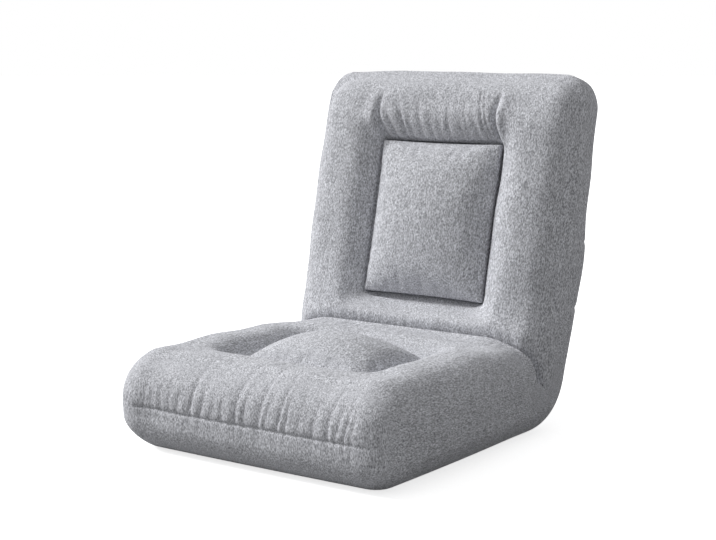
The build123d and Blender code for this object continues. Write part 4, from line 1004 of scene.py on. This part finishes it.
def cover_pieces():
    mesh = skin()
    places, outward = points(mesh), normals(mesh)
    which = region(places[quads(mesh)].mean(1))
    draw_to_seams(places)
    places = clear_of_pads(folded(places, outward))
    places = even_hinge_ends(places, edges(mesh))
    sink_zip(places)
    places[:, 2] = np.maximum(places[:, 2], 0.0)
    set_points(mesh, places)
    outward = normals(mesh)
    faces = quads(mesh)
    for number, (name, body, kind, nodes) in COVERS.items():
        made = shell(name, places, outward, faces[which == number])
        dress(made, name, kind, body=body, nodes=nodes)


# ---------------------------------------------------------------- centre pads
PAD_CELL = 0.004
PAD_CLEARANCE = 0.0006
PAD_BASE = -0.009  # underside, below the sewn edge
PAD_PINCH = 0.0022  # how far the sides draw in between the corners
PAD_CROWDING = 0.72  # rows of points lie closer together towards the edges
SEAT_DOME, SEAT_DOME_POWER = 0.045, 0.60
SEAT_PLEATS, SEAT_PLEAT_REACH = 0.0003, 0.050
BACK_DOME, BACK_DOME_POWER = 0.0320, 0.72
BACK_RIM, BACK_RIM_ROUND = 0.0035, 0.011
CLOTH_FRAMES = 20
CLOTH_CAP = 0.006  # no point moves further than this
CLOTH = {
    "quality": 6,
    "mass": 0.15,
    "tension_stiffness": 12,
    "compression_stiffness": 12,
    "shear_stiffness": 6,
    "bending_stiffness": 0.4,
    "use_pressure": True,
    "uniform_pressure_force": 4.0,
    "shrink_min": -0.014,
    "vertex_group_mass": "sewn",
}


def crowded(u):
    """From -1 to 1 again, with closer rows towards the ends."""
    return np.sin(u * math.pi / 2 * PAD_CROWDING) / math.sin(math.pi / 2 * PAD_CROWDING)


def pillow(rise, half, low, high, base):
    """A closed pad over a rectangle: rise above its sewn edge, base below it. Returns verts in
    (x, s, height), faces, and the points that are sewn down."""
    across = round(2 * half / PAD_CELL)
    length = round((high - low) / PAD_CELL)
    u, v = np.meshgrid(np.linspace(-1, 1, across + 1), np.linspace(-1, 1, length + 1))
    u, v = crowded(u), crowded(v)
    x = u * (half - PAD_PINCH * (1 - v**2))
    s = (low + high) / 2 + v * ((high - low) / 2 - PAD_PINCH * (1 - u**2))
    top = np.stack([x, s, rise(u, v, x, s)], -1)
    bottom = np.stack([x, s, np.full_like(x, base)], -1)
    count = x.size
    index = np.arange(count).reshape(x.shape)
    corners = (index[:-1, :-1], index[:-1, 1:], index[1:, 1:], index[1:, :-1])
    faces = np.stack([corner.ravel() for corner in corners], 1)
    ring = np.concatenate([index[0, :-1], index[:-1, -1], index[-1, :0:-1], index[:0:-1, 0]])
    after = np.roll(ring, -1)
    walls = np.stack([ring, ring + count, after + count, after], 1)
    verts = np.concatenate([top.reshape(-1, 3), bottom.reshape(-1, 3)])
    sewn = np.zeros(len(verts), bool)
    sewn[count:] = True
    sewn[ring] = True
    return verts, np.concatenate([faces, faces[:, ::-1] + count, walls]), sewn


def blown_up(mesh, sewn):
    """The mesh's places after Cloth has filled it with air."""
    piece = linked(mesh, "pad_cloth")
    group = piece.vertex_groups.new(name="sewn")
    group.add([int(k) for k in np.flatnonzero(sewn)], 1.0, "ADD")
    cloth = piece.modifiers.new("cloth", "CLOTH")
    for key, value in CLOTH.items():
        setattr(cloth.settings, key, value)
    cloth.settings.effector_weights.gravity = 0
    cloth.collision_settings.use_collision = False
    cloth.point_cache.frame_start = 1
    cloth.point_cache.frame_end = CLOTH_FRAMES
    scene = bpy.context.scene
    for number in range(1, CLOTH_FRAMES + 1):
        scene.frame_set(number)
    graph = bpy.context.evaluated_depsgraph_get()
    made = bpy.data.meshes.new_from_object(piece.evaluated_get(graph))
    ended = points(made)
    bpy.data.meshes.remove(made)
    bpy.data.objects.remove(piece)
    scene.frame_set(1)
    return ended


def filled(mesh, sewn):
    """Cloth blown up on a pad. Its moves are capped, and the sewn points don't move at all."""
    start = points(mesh)
    move = blown_up(mesh, sewn) - start
    size = np.linalg.norm(move, axis=1, keepdims=True)
    capped = CLOTH_CAP * np.tanh(size / CLOTH_CAP) / np.maximum(size, 1e-9)
    move = move * np.where(size > 1e-9, capped, 0)
    move[sewn] = 0
    return start + move


def seat_rise(u, v, x, s):
    dome = ((1 - u**2) * (1 - v**2)).clip(0) ** SEAT_DOME_POWER
    crowded_x, behind_front = x.ravel() * RIM_CROWDING, (s - SEAT_PAD_Y[0]).ravel()
    pleats = gathered(crowded_x, behind_front, RIM_ROWS, SEAT_PLEAT_REACH, RIM_START)
    return SEAT_DOME * dome + SEAT_PLEATS * pleats.reshape(x.shape) * (1 - u**2)


def back_rise(u, v, x, s):
    dome = ((1 - u**2) * (1 - v**2)).clip(0) ** BACK_DOME_POWER
    edge = np.minimum((1 - np.abs(u)) * PAD_HALF, (1 - np.abs(v)) * BACK_PAD_HALF)
    rim = np.sqrt(1 - (1 - np.clip(edge / BACK_RIM_ROUND, 0, 1)) ** 2)
    return BACK_RIM * rim + BACK_DOME * dome


def on_seat(p):
    return np.c_[p[:, 0], p[:, 1], SEAT_SEWN_Z + p[:, 2]]


def on_back(p):
    flat = HINGE + p[:, 1:2] * UP + (BACK_SEWN_N + p[:, 2:3]) * AHEAD
    flat[:, 0] = p[:, 0]
    return flat


def pad_piece(source, name, body, rise, ends, put):
    low, high = ends[0] + PAD_CLEARANCE, ends[1] - PAD_CLEARANCE
    verts, faces, sewn = pillow(rise, PAD_HALF - PAD_CLEARANCE, low, high, PAD_BASE)
    mesh = built("pad", put(verts), faces)
    set_points(mesh, filled(mesh, sewn))
    smooth(mesh)
    mesh = subdivided(mesh)
    smooth(mesh)
    dress(mesh, name, body, body=body, nodes=(source,))


# ---------------------------------------------------------------- what is inside
FOAM_BLOCKS = {
    "seat": ("seat_foam", "seat_base_foam"),
    "back": ("back_front_foam", "back_rear_foam"),
}


def hidden_foam():
    for body, sources in FOAM_BLOCKS.items():
        for source in sources:
            mesh = remeshed(joined([source]), FOAM_VOXEL)
            set_points(mesh, below_pads(relaxed(points(mesh), edges(mesh), FOAM_ROUNDS)))
            smooth(mesh)
            dress(mesh, source + "_block", body, body=body, nodes=(source,), material=FOAM)


def finish_frame():
    """The metal, plastic and woven parts keep their shapes and get their own materials."""
    for part in frame["record"]["subparts"]:
        finish = FINISHES.get(part["material_slot"])
        if finish:
            piece = frame["nodes"][part["node"]]
            if not piece.material_slots:
                piece.data.materials.append(finish)
            for place in piece.material_slots:
                place.material = finish


set_camera()
cover_pieces()
pad_piece("seat_center_pad", "seat_pad", "seat", seat_rise, SEAT_PAD_Y, on_seat)
pad_piece("back_center_pad", "back_pad", "back", back_rise, BACK_PAD_T, on_back)
hidden_foam()
finish_frame()
set_floor()
set_world()
set_key()
bpy.context.scene.view_settings.view_transform = "Standard"
